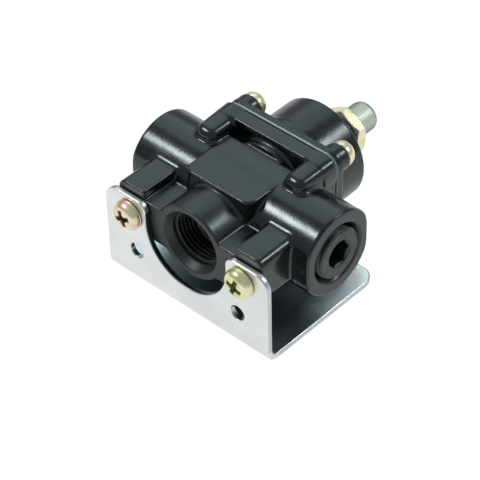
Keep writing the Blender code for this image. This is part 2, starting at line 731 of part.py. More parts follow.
def build_casting(black):
    """The body: tube, block, bosses, lugs and flange in one casting, then bored and drilled."""
    rings = []
    for along, inset in (
        (-TUBE_HALF_LENGTH, TUBE_CHAMFER),
        (-TUBE_HALF_LENGTH + TUBE_CHAMFER, 0.0),
        (TUBE_HALF_LENGTH - TUBE_CHAMFER, 0.0),
        (TUBE_HALF_LENGTH, TUBE_CHAMFER),
    ):
        rings.append([(along, y, z) for y, z in tube_outline(inset)])
    casting = add_object("regulator_body", loft(rings), black)
    add_casting_forms(casting)
    for side, across in SIDES.items():
        cut(casting, port_cutter(across), f"port_{side}")
        centre = (across * BRACKET_SCREW_REACH, AXIS_HEIGHT)
        radius = BRACKET_SCREW_RADIUS + ROUND_CLEARANCE
        depth = BRACKET_SCREW_LENGTH - SHEET + MM
        hole = cylinder("Y", centre, radius, CASTING_FRONT - MM, CASTING_FRONT + depth, COARSE)
        cut(casting, hole, f"bracket_screw_hole_{side}")
    cut(casting, inlet_cutter(), "inlet")
    cut(casting, diaphragm_cutter(), "chamber")
    for name, centre in screw_places().items():
        radius = COVER_SCREW_RADIUS + ROUND_CLEARANCE
        deep = EAR_END - COVER_SCREW_LENGTH - MM
        cut(casting, cylinder("Y", centre, radius, deep, FLANGE_BACK + MM, COARSE), f"screw_hole_{name}")


# The outlet plug


def hexagon_socket(axis, face, across_flats, depth):
    """A key socket sunk from a face on the common axes' height, with a drilled point at its floor."""
    rings = []
    floor = face - depth
    point = floor - across_flats * SOCKET_POINT_DEPTH_SHARE
    for along, share in ((face + MM, 1.0), (floor, 1.0), (point, SOCKET_POINT_SHARE)):
        outline = hexagon(across_flats * share, 0.0)
        rings.append([place(axis, u, AXIS_HEIGHT + v, along) for u, v in outline])
    return loft(rings)


def build_plug(steel):
    """The tapered plug that closes the right outlet, with its hexagon socket."""
    face = TUBE_HALF_LENGTH + PLUG_PROUD
    end = face - PLUG_LENGTH
    small = PLUG_RADIUS - PLUG_LENGTH * PLUG_TAPER
    profile = [(0.0, end), (small - PLUG_CHAMFER, end), (small, end + PLUG_CHAMFER)]
    profile += [(PLUG_RADIUS, face - PLUG_CHAMFER), (PLUG_RADIUS - PLUG_CHAMFER, face), (0.0, face)]
    plug = add_object("outlet_plug", turned(profile, "X", (0.0, AXIS_HEIGHT)), steel)
    cut(plug, hexagon_socket("X", face, PLUG_SOCKET_ACROSS_FLATS, PLUG_SOCKET_DEPTH), "socket")


# The diaphragm and what moves with it


def build_diaphragm(rubber):
    """A sheet in the flange's outline, with one roll between its clamped rim and its plates."""
    steps = DIAPHRAGM_STEPS
    inner = RIVET_RADIUS + ROUND_CLEARANCE
    roll_in = BACK_PLATE_RADIUS + ROUND_CLEARANCE
    roll_out = CHAMBER_RADIUS - ROUND_CLEARANCE
    rows = [(inner, 0.0), (roll_in, 0.0)]
    for step in range(1, 4):
        share = step / 4
        height = ROLL_HEIGHT * math.sin(math.pi * share)
        rows.append((roll_in + (roll_out - roll_in) * share, height))
    rows.append((roll_out, 0.0))
    rings = []
    for face, order in ((DIAPHRAGM_FRONT, 1), (DIAPHRAGM_BACK, -1)):
        layer = []
        for radius, height in rows:
            layer.append([place("Y", u, v, face + height) for u, v in circle(AXIS, radius, steps)])
        outer = []
        for step in range(steps):
            angle = math.tau * step / steps
            reach = flange_reach(angle)
            outer.append((reach * math.cos(angle), face, AXIS_HEIGHT + reach * math.sin(angle)))
        layer.append(outer)
        rings += layer[::order]
    diaphragm = add_object("diaphragm", loft(rings, closed=True), rubber)
    for name, centre in screw_places().items():
        radius = COVER_SCREW_RADIUS + ROUND_CLEARANCE
        hole = cylinder("Y", centre, radius, DIAPHRAGM_FRONT - MM, DIAPHRAGM_BACK + MM, COARSE)
        cut(diaphragm, hole, f"hole_{name}")


def build_diaphragm_stack(travel, zinc, steel):
    """The two plates and the rivet that clamp the diaphragm's middle."""
    here = (0.0, DIAPHRAGM_FRONT, AXIS_HEIGHT)
    bore = RIVET_RADIUS + ROUND_CLEARANCE
    edge = PLATE_EDGE
    profile = [(bore, FRONT_PLATE_FRONT), (FRONT_PLATE_RADIUS - edge, FRONT_PLATE_FRONT)]
    profile += [(FRONT_PLATE_RADIUS, FRONT_PLATE_FRONT + edge), (FRONT_PLATE_RADIUS, FRONT_PLATE_BACK)]
    profile += [(bore, FRONT_PLATE_BACK)]
    add_object("diaphragm_plate_front", turned(profile, "Y", AXIS, MEDIUM, ring=True), zinc, here, travel)
    rim = BACK_PLATE_BACK + BACK_PLATE_RIM
    wall = BACK_PLATE_RADIUS - BACK_PLATE_THICKNESS
    profile = [(bore, BACK_PLATE_FRONT), (BACK_PLATE_RADIUS - edge, BACK_PLATE_FRONT)]
    profile += [(BACK_PLATE_RADIUS, BACK_PLATE_FRONT + edge), (BACK_PLATE_RADIUS, rim)]
    profile += [(wall, rim), (wall, BACK_PLATE_BACK), (bore, BACK_PLATE_BACK)]
    add_object("diaphragm_plate_back", turned(profile, "Y", AXIS, MEDIUM, ring=True), zinc, here, travel)
    head_back = RIVET_FRONT + RIVET_HEAD_HEIGHT
    upset = BACK_PLATE_BACK + SEAT_GAP
    upset_radius = RIVET_HEAD_RADIUS * 0.85
    profile = [(0.0, RIVET_FRONT), (RIVET_HEAD_RADIUS * 0.7, RIVET_FRONT)]
    profile += [(RIVET_HEAD_RADIUS, RIVET_FRONT + RIVET_HEAD_HEIGHT / 2), (RIVET_HEAD_RADIUS, head_back)]
    profile += [(RIVET_RADIUS, head_back), (RIVET_RADIUS, upset), (upset_radius, upset)]
    profile += [(upset_radius * 0.9, upset + RIVET_HEAD_HEIGHT * 0.6)]
    profile += [(upset_radius * 0.5, upset + RIVET_HEAD_HEIGHT), (0.0, upset + RIVET_HEAD_HEIGHT)]
    add_object("diaphragm_rivet", turned(profile, "Y", AXIS, COARSE), steel, here, travel)


# Spring, button, adjusting screw and jam nut


def build_spring_side(travel, turn, lock, steel, zinc, chromate):
    """The pressure spring and what sets it."""
    spring = coil(AXIS, SPRING_RADIUS, SPRING_WIRE, SPRING_FRONT, SPRING_BACK, SPRING_TURNS, SPRING_STEPS, WIRE_STEPS)
    add_object("pressure_spring", spring, steel)
    here = (0.0, BUTTON_FRONT, AXIS_HEIGHT)
    pilot = BUTTON_FRONT - BUTTON_PILOT_HEIGHT
    dimple = ADJUSTER_TIP_RADIUS + ROUND_CLEARANCE
    profile = [(0.0, pilot), (BUTTON_PILOT_RADIUS * 0.9, pilot), (BUTTON_PILOT_RADIUS, pilot + BUTTON_PILOT_CHAMFER)]
    profile += [(BUTTON_PILOT_RADIUS, BUTTON_FRONT), (BUTTON_RADIUS, BUTTON_FRONT)]
    profile += [(BUTTON_RADIUS, BUTTON_BACK), (dimple, BUTTON_BACK), (0.0, BUTTON_BACK - BUTTON_DIMPLE)]
    add_object("spring_button", turned(profile, "Y", AXIS, MEDIUM), zinc, here, travel)
    here = (0.0, ADJUSTER_IN, AXIS_HEIGHT)
    profile = [(0.0, ADJUSTER_IN - ADJUSTER_TIP_HEIGHT)]
    profile += [(ADJUSTER_TIP_RADIUS * 0.6, ADJUSTER_IN - ADJUSTER_TIP_HEIGHT * 0.4)]
    profile += [(ADJUSTER_TIP_RADIUS, ADJUSTER_IN), (ADJUSTER_RADIUS, ADJUSTER_IN + ADJUSTER_TIP_CONE)]
    for step in range(5):
        angle = math.pi / 2 * step / 4
        reach = ADJUSTER_RADIUS - ADJUSTER_END_RADIUS * (1.0 - math.cos(angle))
        profile.append((reach, ADJUSTER_OUT - ADJUSTER_END_RADIUS * (1.0 - math.sin(angle))))
    profile.append((0.0, ADJUSTER_OUT))
    adjuster = add_object("adjusting_screw", turned(profile, "Y", AXIS, MEDIUM), zinc, here, turn)
    socket = hexagon_socket("Y", ADJUSTER_OUT, ADJUSTER_SOCKET_ACROSS_FLATS, ADJUSTER_SOCKET_DEPTH)
    cut(adjuster, socket, "socket")
    here = (0.0, BOSS_END, AXIS_HEIGHT)
    front = BOSS_END + SEAT_GAP
    back = front + NUT_THICKNESS
    outline = [(u, AXIS_HEIGHT + v) for u, v in hexagon(NUT_ACROSS_FLATS)]
    nut = add_object("jam_nut", prism(outline, "Y", front, back), chromate, here, lock)
    flat = NUT_ACROSS_FLATS / 2
    corner = NUT_ACROSS_FLATS / math.sqrt(3.0) + NUT_CHAMFER_OVERSHOOT
    slope = (corner - flat) * math.tan(NUT_CHAMFER_ANGLE)
    profile = [(0.0, front), (flat, front), (corner, front + slope), (corner, back - slope)]
    profile += [(flat, back), (0.0, back)]
    keep(nut, turned(profile, "Y", AXIS, FINE), "chamfers")
    bore = ADJUSTER_RADIUS + ROUND_CLEARANCE
    cut(nut, cylinder("Y", AXIS, bore, front - MM, back + MM, MEDIUM), "thread_bore")


# The cover


def dome_profile(radius, start, end, edge):
    """A flat-ended dome's profile, from its axis at the start to the rim of its flat end."""
    profile = [(0.0, start), (radius, start)]
    for step in range(5):
        angle = math.pi / 2 * step / 4
        reach = radius - edge * (1.0 - math.cos(angle))
        profile.append((reach, end - edge * (1.0 - math.sin(angle))))
    return profile


def build_cover(black):
    """The spring cover: a plate in the flange's outline, four ears, the dome and its threaded boss."""
    plate = prism(flange_outline(), "Y", COVER_FRONT, COVER_PLATE_BACK)
    cover = add_object("spring_cover", plate, black)
    middle = (COVER_FRONT + COVER_PLATE_BACK) / 2
    web_start = middle + DOME_START
    dome = dome_profile(DOME_RADIUS, middle - DOME_START, DOME_END, DOME_EDGE_RADIUS)
    edge = ADJUSTER_BOSS_CHAMFER
    dome += [(ADJUSTER_BOSS_RADIUS, DOME_END), (ADJUSTER_BOSS_RADIUS, BOSS_END - edge)]
    dome += [(ADJUSTER_BOSS_RADIUS - edge, BOSS_END), (0.0, BOSS_END)]
    join(cover, turned(dome, "Y", AXIS, FINE), "dome")
    for name, centre in screw_places().items():
        join(cover, cylinder("Y", centre, EAR_RADIUS, middle, EAR_END, COARSE), f"ear_{name}")
        towards = Vector((AXIS[0] - centre[0], AXIS[1] - centre[1])).normalized()
        across = Vector((-towards.y, towards.x)) * (EAR_RADIUS * EAR_WEB_HALF_SHARE)
        start = Vector(centre)
        end = start + towards * (EAR_RADIUS * EAR_WEB_REACH_SHARE)
        outline = [tuple(start - across), tuple(end - across), tuple(end + across), tuple(start + across)]
        join(cover, prism(outline, "Y", web_start, EAR_END - EAR_WEB_STEP), f"web_{name}")
    cavity_end = DOME_END - DOME_WALL
    cavity = dome_profile(CHAMBER_RADIUS, COVER_FRONT - MM, cavity_end, DOME_EDGE_RADIUS)
    bore = ADJUSTER_RADIUS + ROUND_CLEARANCE
    cavity += [(bore, cavity_end), (bore, BOSS_END + MM), (0.0, BOSS_END + MM)]
    cut(cover, turned(cavity, "Y", AXIS, FINE), "spring_space")
    for name, centre in screw_places().items():
        radius = COVER_SCREW_RADIUS + ROUND_CLEARANCE
        hole = cylinder("Y", centre, radius, COVER_FRONT - MM, EAR_END + MM, COARSE)
        cut(cover, hole, f"hole_{name}")
        radius = COVER_SCREW_HEAD_RADIUS + ROUND_CLEARANCE
        room = cylinder("Y", centre, radius, EAR_END, EAR_END + 2 * COVER_SCREW_HEAD_HEIGHT, MEDIUM)
        cut(cover, room, f"head_room_{name}")
    vent_place = (0.0, COVER_PLATE_BACK + DOME_LENGTH / 2)
    vent = cylinder("Z", vent_place, VENT_RADIUS, AXIS_HEIGHT - DOME_RADIUS - MM, AXIS_HEIGHT - SPRING_RADIUS, 12)
    cut(cover, vent, "vent")


def build_cover_screws(chromate):
    """The four screws that clamp cover and diaphragm to the casting."""
    head = (COVER_SCREW_HEAD_RADIUS, COVER_SCREW_HEAD_HEIGHT)
    shank = (COVER_SCREW_RADIUS, COVER_SCREW_LENGTH)
    for name, centre in screw_places().items():
        build_pan_screw(f"cover_screw_{name}", centre, EAR_END, 1, head, shank, chromate)


# The inlet valve


def build_valve_seat(brass, fibre):
    """The seat insert and the washer under its flange."""
    shank_end = SEAT_FLANGE_BACK + SEAT_SHANK_LENGTH
    edge = SEAT_EDGE
    profile = [(SEAT_BORE_RADIUS, SEAT_LIP), (SEAT_LIP_RADIUS - edge, SEAT_LIP)]
    profile += [(SEAT_LIP_RADIUS, SEAT_FLANGE_FRONT), (SEAT_FLANGE_RADIUS, SEAT_FLANGE_FRONT)]
    profile += [(SEAT_FLANGE_RADIUS, SEAT_FLANGE_BACK), (SEAT_SHANK_RADIUS, SEAT_FLANGE_BACK)]
    profile += [(SEAT_SHANK_RADIUS, shank_end - edge), (SEAT_SHANK_RADIUS - edge, shank_end)]
    profile += [(SEAT_BORE_RADIUS, shank_end)]
    add_object("valve_seat", turned(profile, "Y", AXIS, MEDIUM, ring=True), brass)
    back = -SEAT_SHOULDER - SEAT_GAP
    front = back - WASHER_THICKNESS
    inner = SEAT_SHANK_RADIUS + ROUND_CLEARANCE
    profile = [(inner, front), (SEAT_FLANGE_RADIUS, front), (SEAT_FLANGE_RADIUS, back), (inner, back)]
    add_object("seat_washer", turned(profile, "Y", AXIS, MEDIUM, ring=True), fibre)


def build_valve(travel, brass, rubber):
    """The valve with its stem and three guide wings, and the soft facing on its head."""
    here = (0.0, VALVE_HEAD_BACK, AXIS_HEIGHT)
    hub = VALVE_SPRING_RADIUS - VALVE_SPRING_WIRE / 2 - ROUND_CLEARANCE
    hub_front = VALVE_HEAD_FRONT - VALVE_HUB_HEIGHT
    profile = [(0.0, hub_front), (hub, hub_front)]
    profile += [(hub, VALVE_HEAD_FRONT), (VALVE_HEAD_RADIUS, VALVE_HEAD_FRONT)]
    profile += [(VALVE_HEAD_RADIUS, VALVE_HEAD_BACK), (STEM_RADIUS, VALVE_HEAD_BACK)]
    profile += [(STEM_RADIUS, STEM_END - STEM_CHAMFER), (STEM_RADIUS * 0.7, STEM_END), (0.0, STEM_END)]
    valve = add_object("inlet_valve", turned(profile, "Y", AXIS, COARSE), brass, here, travel)
    wing_start = FACING_BACK + SEAT_GAP
    half = GUIDE_WING / 2
    for wing in range(3):
        angle = math.radians(90.0 + 120.0 * wing)
        outline = []
        for u, v in ((0.0, -half), (GUIDE_RADIUS, -half), (GUIDE_RADIUS, half), (0.0, half)):
            x = u * math.cos(angle) - v * math.sin(angle)
            z = AXIS_HEIGHT + u * math.sin(angle) + v * math.cos(angle)
            outline.append((x, z))
        join(valve, prism(outline, "Y", wing_start, wing_start + GUIDE_LENGTH), f"wing_{wing + 1}")
    inner = STEM_RADIUS + ROUND_CLEARANCE
    profile = [(inner, FACING_FRONT), (FACING_RADIUS, FACING_FRONT), (FACING_RADIUS, FACING_BACK)]
    profile += [(inner, FACING_BACK)]
    add_object("valve_facing", turned(profile, "Y", AXIS, COARSE, ring=True), rubber, here, travel)


def build_valve_cage(steel, brass):
    """The spring that follows the valve, and the pierced cage that holds it in the inlet."""
    spring = coil(AXIS, VALVE_SPRING_RADIUS, VALVE_SPRING_WIRE, VALVE_SPRING_FRONT,
                  VALVE_SPRING_BACK, VALVE_SPRING_TURNS, VALVE_SPRING_STEPS, WIRE_STEPS)
    add_object("valve_spring", spring, steel)
    rim = CAGE_PLATE_BACK + CAGE_RIM_HEIGHT
    wall = CAGE_RADIUS - CAGE_RIM_WALL
    profile = [(0.0, CAGE_PLATE_FRONT), (CAGE_RADIUS - CAGE_EDGE, CAGE_PLATE_FRONT)]
    profile += [(CAGE_RADIUS, CAGE_PLATE_FRONT + CAGE_EDGE), (CAGE_RADIUS, rim), (wall, rim)]
    profile += [(wall, CAGE_PLATE_BACK), (0.0, CAGE_PLATE_BACK)]
    cage = add_object("valve_cage", turned(profile, "Y", AXIS, MEDIUM), brass)
    for index in range(CAGE_HOLE_COUNT):
        angle = math.tau * (index + 0.5) / CAGE_HOLE_COUNT
        across = CAGE_HOLE_REACH * math.cos(angle)
        centre = (across, AXIS_HEIGHT + CAGE_HOLE_REACH * math.sin(angle))
        start = CAGE_PLATE_FRONT - MM
        hole = cylinder("Y", centre, CAGE_HOLE_RADIUS, start, CAGE_PLATE_BACK + MM, 12)
        cut(cage, hole, f"hole_{index + 1}")


def main():
    """Builds the regulator, piece by piece, from the bracket inwards."""
    clear_scene()
    black = make_material("black_casting", (0.012, 0.013, 0.015), 0.32, 0.2)
    zinc = make_material("clear_zinc", (0.72, 0.74, 0.74), 0.33, 1.0)
    chromate = make_material("yellow_zinc", (0.80, 0.70, 0.42), 0.3, 1.0)
    steel = make_material("plain_steel", (0.30, 0.29, 0.28), 0.4, 1.0)
    brass = make_material("brass", (0.66, 0.50, 0.22), 0.35, 1.0)
    rubber = make_material("black_rubber", (0.02, 0.02, 0.02), 0.7, 0.0)
    fibre = make_material("sealing_fibre", (0.45, 0.22, 0.16), 0.8, 0.0)

    build_bracket(zinc)
    build_bracket_screws(chromate)
    build_casting(black)
    build_plug(steel)
    build_cover(black)
    build_cover_screws(chromate)
    build_diaphragm(rubber)

    stack = add_joint("diaphragm_travel", (0.0, DIAPHRAGM_FRONT, AXIS_HEIGHT))
    build_diaphragm_stack(stack, zinc, steel)
    travel = add_joint("adjuster_travel", (0.0, BUTTON_FRONT, AXIS_HEIGHT))
    turn = add_joint("adjuster_turn", (0.0, ADJUSTER_IN, AXIS_HEIGHT), travel)
    lock = add_joint("jam_nut_turn", (0.0, BOSS_END, AXIS_HEIGHT))
    build_spring_side(travel, turn, lock, steel, zinc, chromate)

    build_valve_seat(brass, fibre)
    valve = add_joint("valve_travel", (0.0, VALVE_HEAD_BACK, AXIS_HEIGHT))
    build_valve(valve, brass, rubber)
    build_valve_cage(steel, brass)


main()
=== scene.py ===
"""The looks of a two-outlet fuel pressure regulator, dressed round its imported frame.

Sizes are in millimetres in the frame's own axes: X along the outlets, Y from the inlet to the
spring cover, Z up. A point's height above the common axis of inlet, outlets and cover is
called its rise. Cast and pressed forms are worked out as fields: a function of place that is
negative inside the piece and positive outside. The field is sampled on a grid, its skin is
drawn through the cells where the sign changes, and each point is then moved along the field's
slope until it lies on the skin.
"""

from __future__ import annotations

import logging
import math
from dataclasses import dataclass
from enum import Enum
from typing import Any, Callable

import bpy
import numpy as np
from mathutils import Matrix, Vector

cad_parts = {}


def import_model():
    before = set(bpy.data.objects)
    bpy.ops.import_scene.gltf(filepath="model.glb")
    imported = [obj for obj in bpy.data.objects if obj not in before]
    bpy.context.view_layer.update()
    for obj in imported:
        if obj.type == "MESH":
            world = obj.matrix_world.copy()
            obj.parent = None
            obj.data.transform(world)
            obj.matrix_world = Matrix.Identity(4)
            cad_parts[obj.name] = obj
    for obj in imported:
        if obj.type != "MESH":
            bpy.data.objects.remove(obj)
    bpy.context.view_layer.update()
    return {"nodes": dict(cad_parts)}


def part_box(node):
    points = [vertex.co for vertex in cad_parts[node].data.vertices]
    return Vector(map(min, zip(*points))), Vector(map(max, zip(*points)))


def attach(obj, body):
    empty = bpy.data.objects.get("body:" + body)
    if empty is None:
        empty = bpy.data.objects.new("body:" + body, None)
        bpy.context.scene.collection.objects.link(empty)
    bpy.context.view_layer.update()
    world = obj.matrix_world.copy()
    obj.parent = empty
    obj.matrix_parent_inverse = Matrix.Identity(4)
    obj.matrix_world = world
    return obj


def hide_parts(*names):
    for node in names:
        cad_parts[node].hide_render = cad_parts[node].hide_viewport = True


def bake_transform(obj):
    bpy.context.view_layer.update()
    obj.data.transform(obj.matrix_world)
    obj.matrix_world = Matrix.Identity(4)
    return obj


Array = np.ndarray
Field = Callable[[Array, Array, Array], Array]
Pair = tuple[float, float]
Triple = tuple[float, float, float]
Material = bpy.types.Material
Node = bpy.types.Node
Socket = bpy.types.NodeSocket
Tree = bpy.types.NodeTree

LOG = logging.getLogger("regulator")
MM = 0.001
AXIS_HEIGHT = 26.85
FLANGE_HALF = (21.65, 18.15)
FLANGE_CORNER = 4.6
SCREW_REACH = (17.35, 13.85)
SCREW_HOLE = 2.35
BRACKET_REACH = 22.1
BRACKET_HOLE = 2.7
PIPE_PITCH = 1.411


class Slot(Enum):
    """Names of the record's material slots."""

    CASTING = "black_casting"
    CLEAR_ZINC = "clear_zinc"
    YELLOW_ZINC = "yellow_zinc"
    STEEL = "plain_steel"
    GREY_ZINC = "grey_zinc"
    BRASS = "brass"
    RUBBER = "rubber"


class Body(Enum):
    """The frame's rigid bodies."""

    REGULATOR = "regulator"
    STACK = "diaphragm_stack"
    VALVE = "valve"
    BUTTON = "spring_button"
    ADJUSTER = "adjusting_screw"
    NUT = "jam_nut"


# Fields and how they meet


def ring(u: Array, v: Array) -> Array:
    """The length of (u, v): the distance from an axis, given the coordinates across it."""
    return np.sqrt(u * u + v * v)


def slab(t: Array, low: float, high: float) -> Array:
    """The space between two parallel planes at low and high, across which t runs."""
    return np.maximum(low - t, t - high)


def round_corner(past_u: Array, past_v: Array, radius: float | Array) -> Array:
    """Two straight sides that meet in a round corner.

    Args:
        past_u: How far a place lies past the first side.
        past_v: How far it lies past the second side.
        radius: Corner radius.

    Returns:
        The distance to the outline: past the corner's centre the length of the overshoot, and
        beside a straight side the overshoot itself.
    """
    u, v = past_u + radius, past_v + radius
    return ring(np.maximum(u, 0.0), np.maximum(v, 0.0)) + np.minimum(np.maximum(u, v), 0.0) - radius


def rounded_rectangle(u: Array, v: Array, half: Pair, radius: float | Array) -> Array:
    """A rectangle with round corners about the origin, given its half width and half height."""
    return round_corner(np.abs(u) - half[0], np.abs(v) - half[1], radius)


def about_screws(across: Array, up: Array) -> Array:
    """Distance from the nearest cover screw's axis, given how far a place lies off the middle."""
    return ring(across - SCREW_REACH[0], up - SCREW_REACH[1])


def joined(a: Array, b: Array, radius: float) -> Array:
    """Two forms together, with a round fillet where they meet.

    Args:
        a: First field.
        b: Second field.
        radius: Fillet radius.

    Returns:
        The smaller field, less the length of what each lies inside the fillet's radius.
    """
    near = ring(np.maximum(radius - a, 0.0), np.maximum(radius - b, 0.0))
    return np.maximum(radius, np.minimum(a, b)) - near


def common(a: Array, b: Array, radius: float) -> Array:
    """What two forms share, with a round outer edge where their skins cross.

    Args:
        a: First field.
        b: Second field.
        radius: Edge radius.

    Returns:
        The larger field, plus the length of what each reaches past the edge's centre.
    """
    past = ring(np.maximum(radius + a, 0.0), np.maximum(radius + b, 0.0))
    return np.minimum(-radius, np.maximum(a, b)) + past


def cut(a: Array, b: Array, radius: float) -> Array:
    """The first form without the second, its edge rounded by radius."""
    return common(a, -b, radius)


def bored(across: Array, along: Array, places: list[float], radii: list[float]) -> Array:
    """A round hole whose radius changes along its axis.

    Args:
        across: Distance from the axis.
        along: Place along the axis.
        places: Places, rising, where a radius is given.
        radii: The radius at each of them; it changes evenly between two.

    Returns:
        A field that is negative inside the hole.
    """
    return across - np.interp(along, places, radii).astype(across.dtype)


def thread_wave(angle: Array, along: Array, pitch: float) -> Array:
    """The height of a right-handed V thread that climbs one pitch in one turn.

    Args:
        angle: Angle round the axis, in radians.
        along: Place along the axis.
        pitch: Climb in one turn.

    Returns:
        A triangle wave of the turns, from 0 at the root to 1 at the crest.
    """
    turn = along / pitch - angle / math.tau
    return 1.0 - 2.0 * np.abs(turn - np.floor(turn) - 0.5)


def hexagonal(u: Array, v: Array, half: float, turn: float) -> Array:
    """A six-sided bar about the origin.

    Args:
        u: First coordinate.
        v: Second coordinate.
        half: Half its width across flats.
        turn: Which way its first flat faces, in degrees from u.

    Returns:
        The largest distance past one of its three pairs of flats.
    """
    angles = np.radians([turn, turn + 60.0, turn + 120.0])
    flats = [np.abs(u * math.cos(angle) + v * math.sin(angle)) for angle in angles]
    return np.maximum(np.maximum(flats[0], flats[1]), flats[2]) - half


def key_socket(u: Array, v: Array, sunk: Array, half: float, depth: float) -> Array:
    """A hexagon socket about the origin, with a drilled point below its floor.

    Args:
        u: First coordinate across its axis.
        v: Second coordinate across its axis.
        sunk: Depth below the face.
        half: Half the key's width across flats.
        depth: Depth of the floor.

    Returns:
        A field that is negative inside the socket.
    """
    floor = sunk - (depth + 0.2 * half - 0.28 * ring(u, v))
    return np.maximum(hexagonal(u, v, half, 30.0), floor)


# Meshes


@dataclass
class Skin:
    """Points in millimetres and the faces between them."""

    points: Array
    faces: Array

    def moved(self, offset: Triple) -> Skin:
        """A copy of the skin at another place."""
        return Skin(self.points + np.array(offset), self.faces)

    def spun(self, degrees: float) -> Skin:
        """A copy of the skin turned about the Y axis."""
        turn = np.array(Matrix.Rotation(math.radians(degrees), 3, "Y"))
        return Skin(self.points @ turn.T, self.faces)

    def facing_out(self) -> Skin:
        """Turns the faces outwards.

        Returns:
            The skin itself where its volume is above 0, and otherwise one with its faces turned.
        """
        one, two, three, four = np.moveaxis(self.points[self.faces], 1, 0)
        volume = np.einsum("ij,ij->", one, np.cross(two, three) + np.cross(three, four))
        return Skin(self.points, self.faces[:, ::-1]) if volume < 0.0 else self


CORNERS = np.array([(i, j, k) for i in (0, 1) for j in (0, 1) for k in (0, 1)])
CELL_EDGES = [
    (a, b) for a in range(8) for b in range(a + 1, 8) if np.abs(CORNERS[a] - CORNERS[b]).sum() == 1
]
SLOPE_STEP = 0.02
CURVE_STEP = 0.3
LEAST_SLOPE = 0.05
STEP_SHARE = 0.6
# Edge mark of the castings: partly real wear, partly a painted highlight along their rounded edges.
CAST_EDGE_WEAR_AND_SHEEN = (0.16, 3.0)


@dataclass
class SkinMaker:
    """Draws the skin of a field in a box.

    Attributes:
        low: Lowest corner of the box, in mm.
        high: Highest corner of the box, in mm.
        step: Size of a grid cell, in mm.
    """

    low: Triple
    high: Triple
    step: float

    @classmethod
    def about_axis(cls, half: Pair, start: float, end: float, step: float) -> SkinMaker:
        """A maker whose box lies about the common axis.

        Args:
            half: Half the box's width and half its height.
            start: Where it starts along Y.
            end: Where it ends along Y.
            step: Size of a grid cell.

        Returns:
            The maker.
        """
        low = (-half[0], start, AXIS_HEIGHT - half[1])
        return cls(low, (half[0], end, AXIS_HEIGHT + half[1]), step)

    def skin(self, field: Field) -> Skin:
        """The field's skin, one point a crossed cell and one face a crossed grid edge.

        Args:
            field: The form, negative inside.

        Returns:
            Its skin, facing outwards, each point on the field's zero.
        """
        axes = [
            np.arange(low - 1.5 * self.step, high + 2.5 * self.step, self.step)
            for low, high in zip(self.low, self.high)
        ]
        x, y, z = np.ix_(*[axis.astype(np.float32) for axis in axes])
        shape = tuple(len(axis) for axis in axes)
        values = np.broadcast_to(field(x, y, z), shape)
        points, numbers = self._cell_points(values)
        faces = self._faces(values < 0.0, numbers)
        points = np.array([axis[0] for axis in axes]) + points * self.step
        points = self._settled(field, points, faces)
        return Skin(points, faces)

    @staticmethod
    def _cell_points(values: Array) -> tuple[Array, Array]:
        """A point in each cell that the skin crosses.

        Args:
            values: The field at the grid's nodes.

        Returns:
            The points in cell units, each the mean of the crossings on its cell's edges, and
            each cell's point number, or -1.
        """
        inside = values < 0.0
        size = [length - 1 for length in values.shape]
        count = np.zeros(size, np.int8)
        for i, j, k in CORNERS:
            count += inside[i : i + size[0], j : j + size[1], k : k + size[2]]
        crossed = (count > 0) & (count < 8)
        numbers = np.full(size, -1, np.int64)
        cells = np.argwhere(crossed)
        numbers[crossed] = np.arange(len(cells))
        at = [values[tuple((cells + corner).T)] for corner in CORNERS]
        at = np.stack(at, axis=1).astype(float)
        total = np.zeros((len(cells), 3))
        hits = np.zeros(len(cells))
        for a, b in CELL_EDGES:
            one, two = at[:, a], at[:, b]
            crossing = (one < 0.0) != (two < 0.0)
            share = np.where(crossing, one / np.where(crossing, one - two, 1.0), 0.0)
            place = CORNERS[a] + share[:, None] * (CORNERS[b] - CORNERS[a])
            total += place * crossing[:, None]
            hits += crossing
        return cells + total / hits[:, None], numbers

    @staticmethod
    def _faces(inside: Array, numbers: Array) -> Array:
        """A face across each grid edge whose ends differ, through the four cells round it.

        Args:
            inside: Which nodes are inside.
            numbers: Each cell's point number.

        Returns:
            The faces as rows of four point numbers, facing out of the form.
        """
        found = []
        for axis in range(3):
            first, second = [other for other in range(3) if other != axis]
            here = np.moveaxis(inside, (axis, first, second), (0, 1, 2))
            cell = np.moveaxis(numbers, (axis, first, second), (0, 1, 2))
            start, end = here[:-1, 1:-1, 1:-1], here[1:, 1:-1, 1:-1]
            for leaving in (True, False):
                a, b, c = np.nonzero((start != end) & (start == leaving))
                quad = [cell[a, b, c], cell[a, b + 1, c], cell[a, b + 1, c + 1], cell[a, b, c + 1]]
                if leaving == (axis == 1):
                    quad.reverse()
                found.append(np.stack(quad, axis=1))
        return np.concatenate(found)

    def _settled(self, field: Field, points: Array, faces: Array) -> Array:
        """Points evened out along the skin and set on it.

        Args:
            field: The form.
            points: The points, in mm.
            faces: The faces between them.

        Returns:
            The points after three rounds of moving halfway to the mean of their neighbours and
            back onto the skin.
        """
        ends = np.concatenate([faces[:, [i, (i + 1) % 4]] for i in range(4)])
        ends = np.concatenate([ends, ends[:, ::-1]])
        share = np.bincount(ends[:, 0], minlength=len(points))
        points = onto_skin(field, points, 2, self.step)
        for _ in range(3):
            sums = [np.bincount(ends[:, 0], points[ends[:, 1], i], len(points)) for i in range(3)]
            mean = np.stack([part / share for part in sums], axis=1)
            points = onto_skin(field, 0.5 * (points + mean), 1, self.step)
        return onto_skin(field, points, 3, self.step)


def slope(field: Field, points: Array) -> tuple[Array, Array]:
    """The field and its slope at some points.

    Args:
        field: The form.
        points: The points, in mm.

    Returns:
        The field's value and its slope along each axis, from a small step either way.
    """
    slopes = []
    for offset in SLOPE_STEP * np.eye(3):
        rise = field(*(points + offset).T) - field(*(points - offset).T)
        slopes.append(rise / (2.0 * SLOPE_STEP))
    return field(*points.T), np.stack(slopes, axis=1)


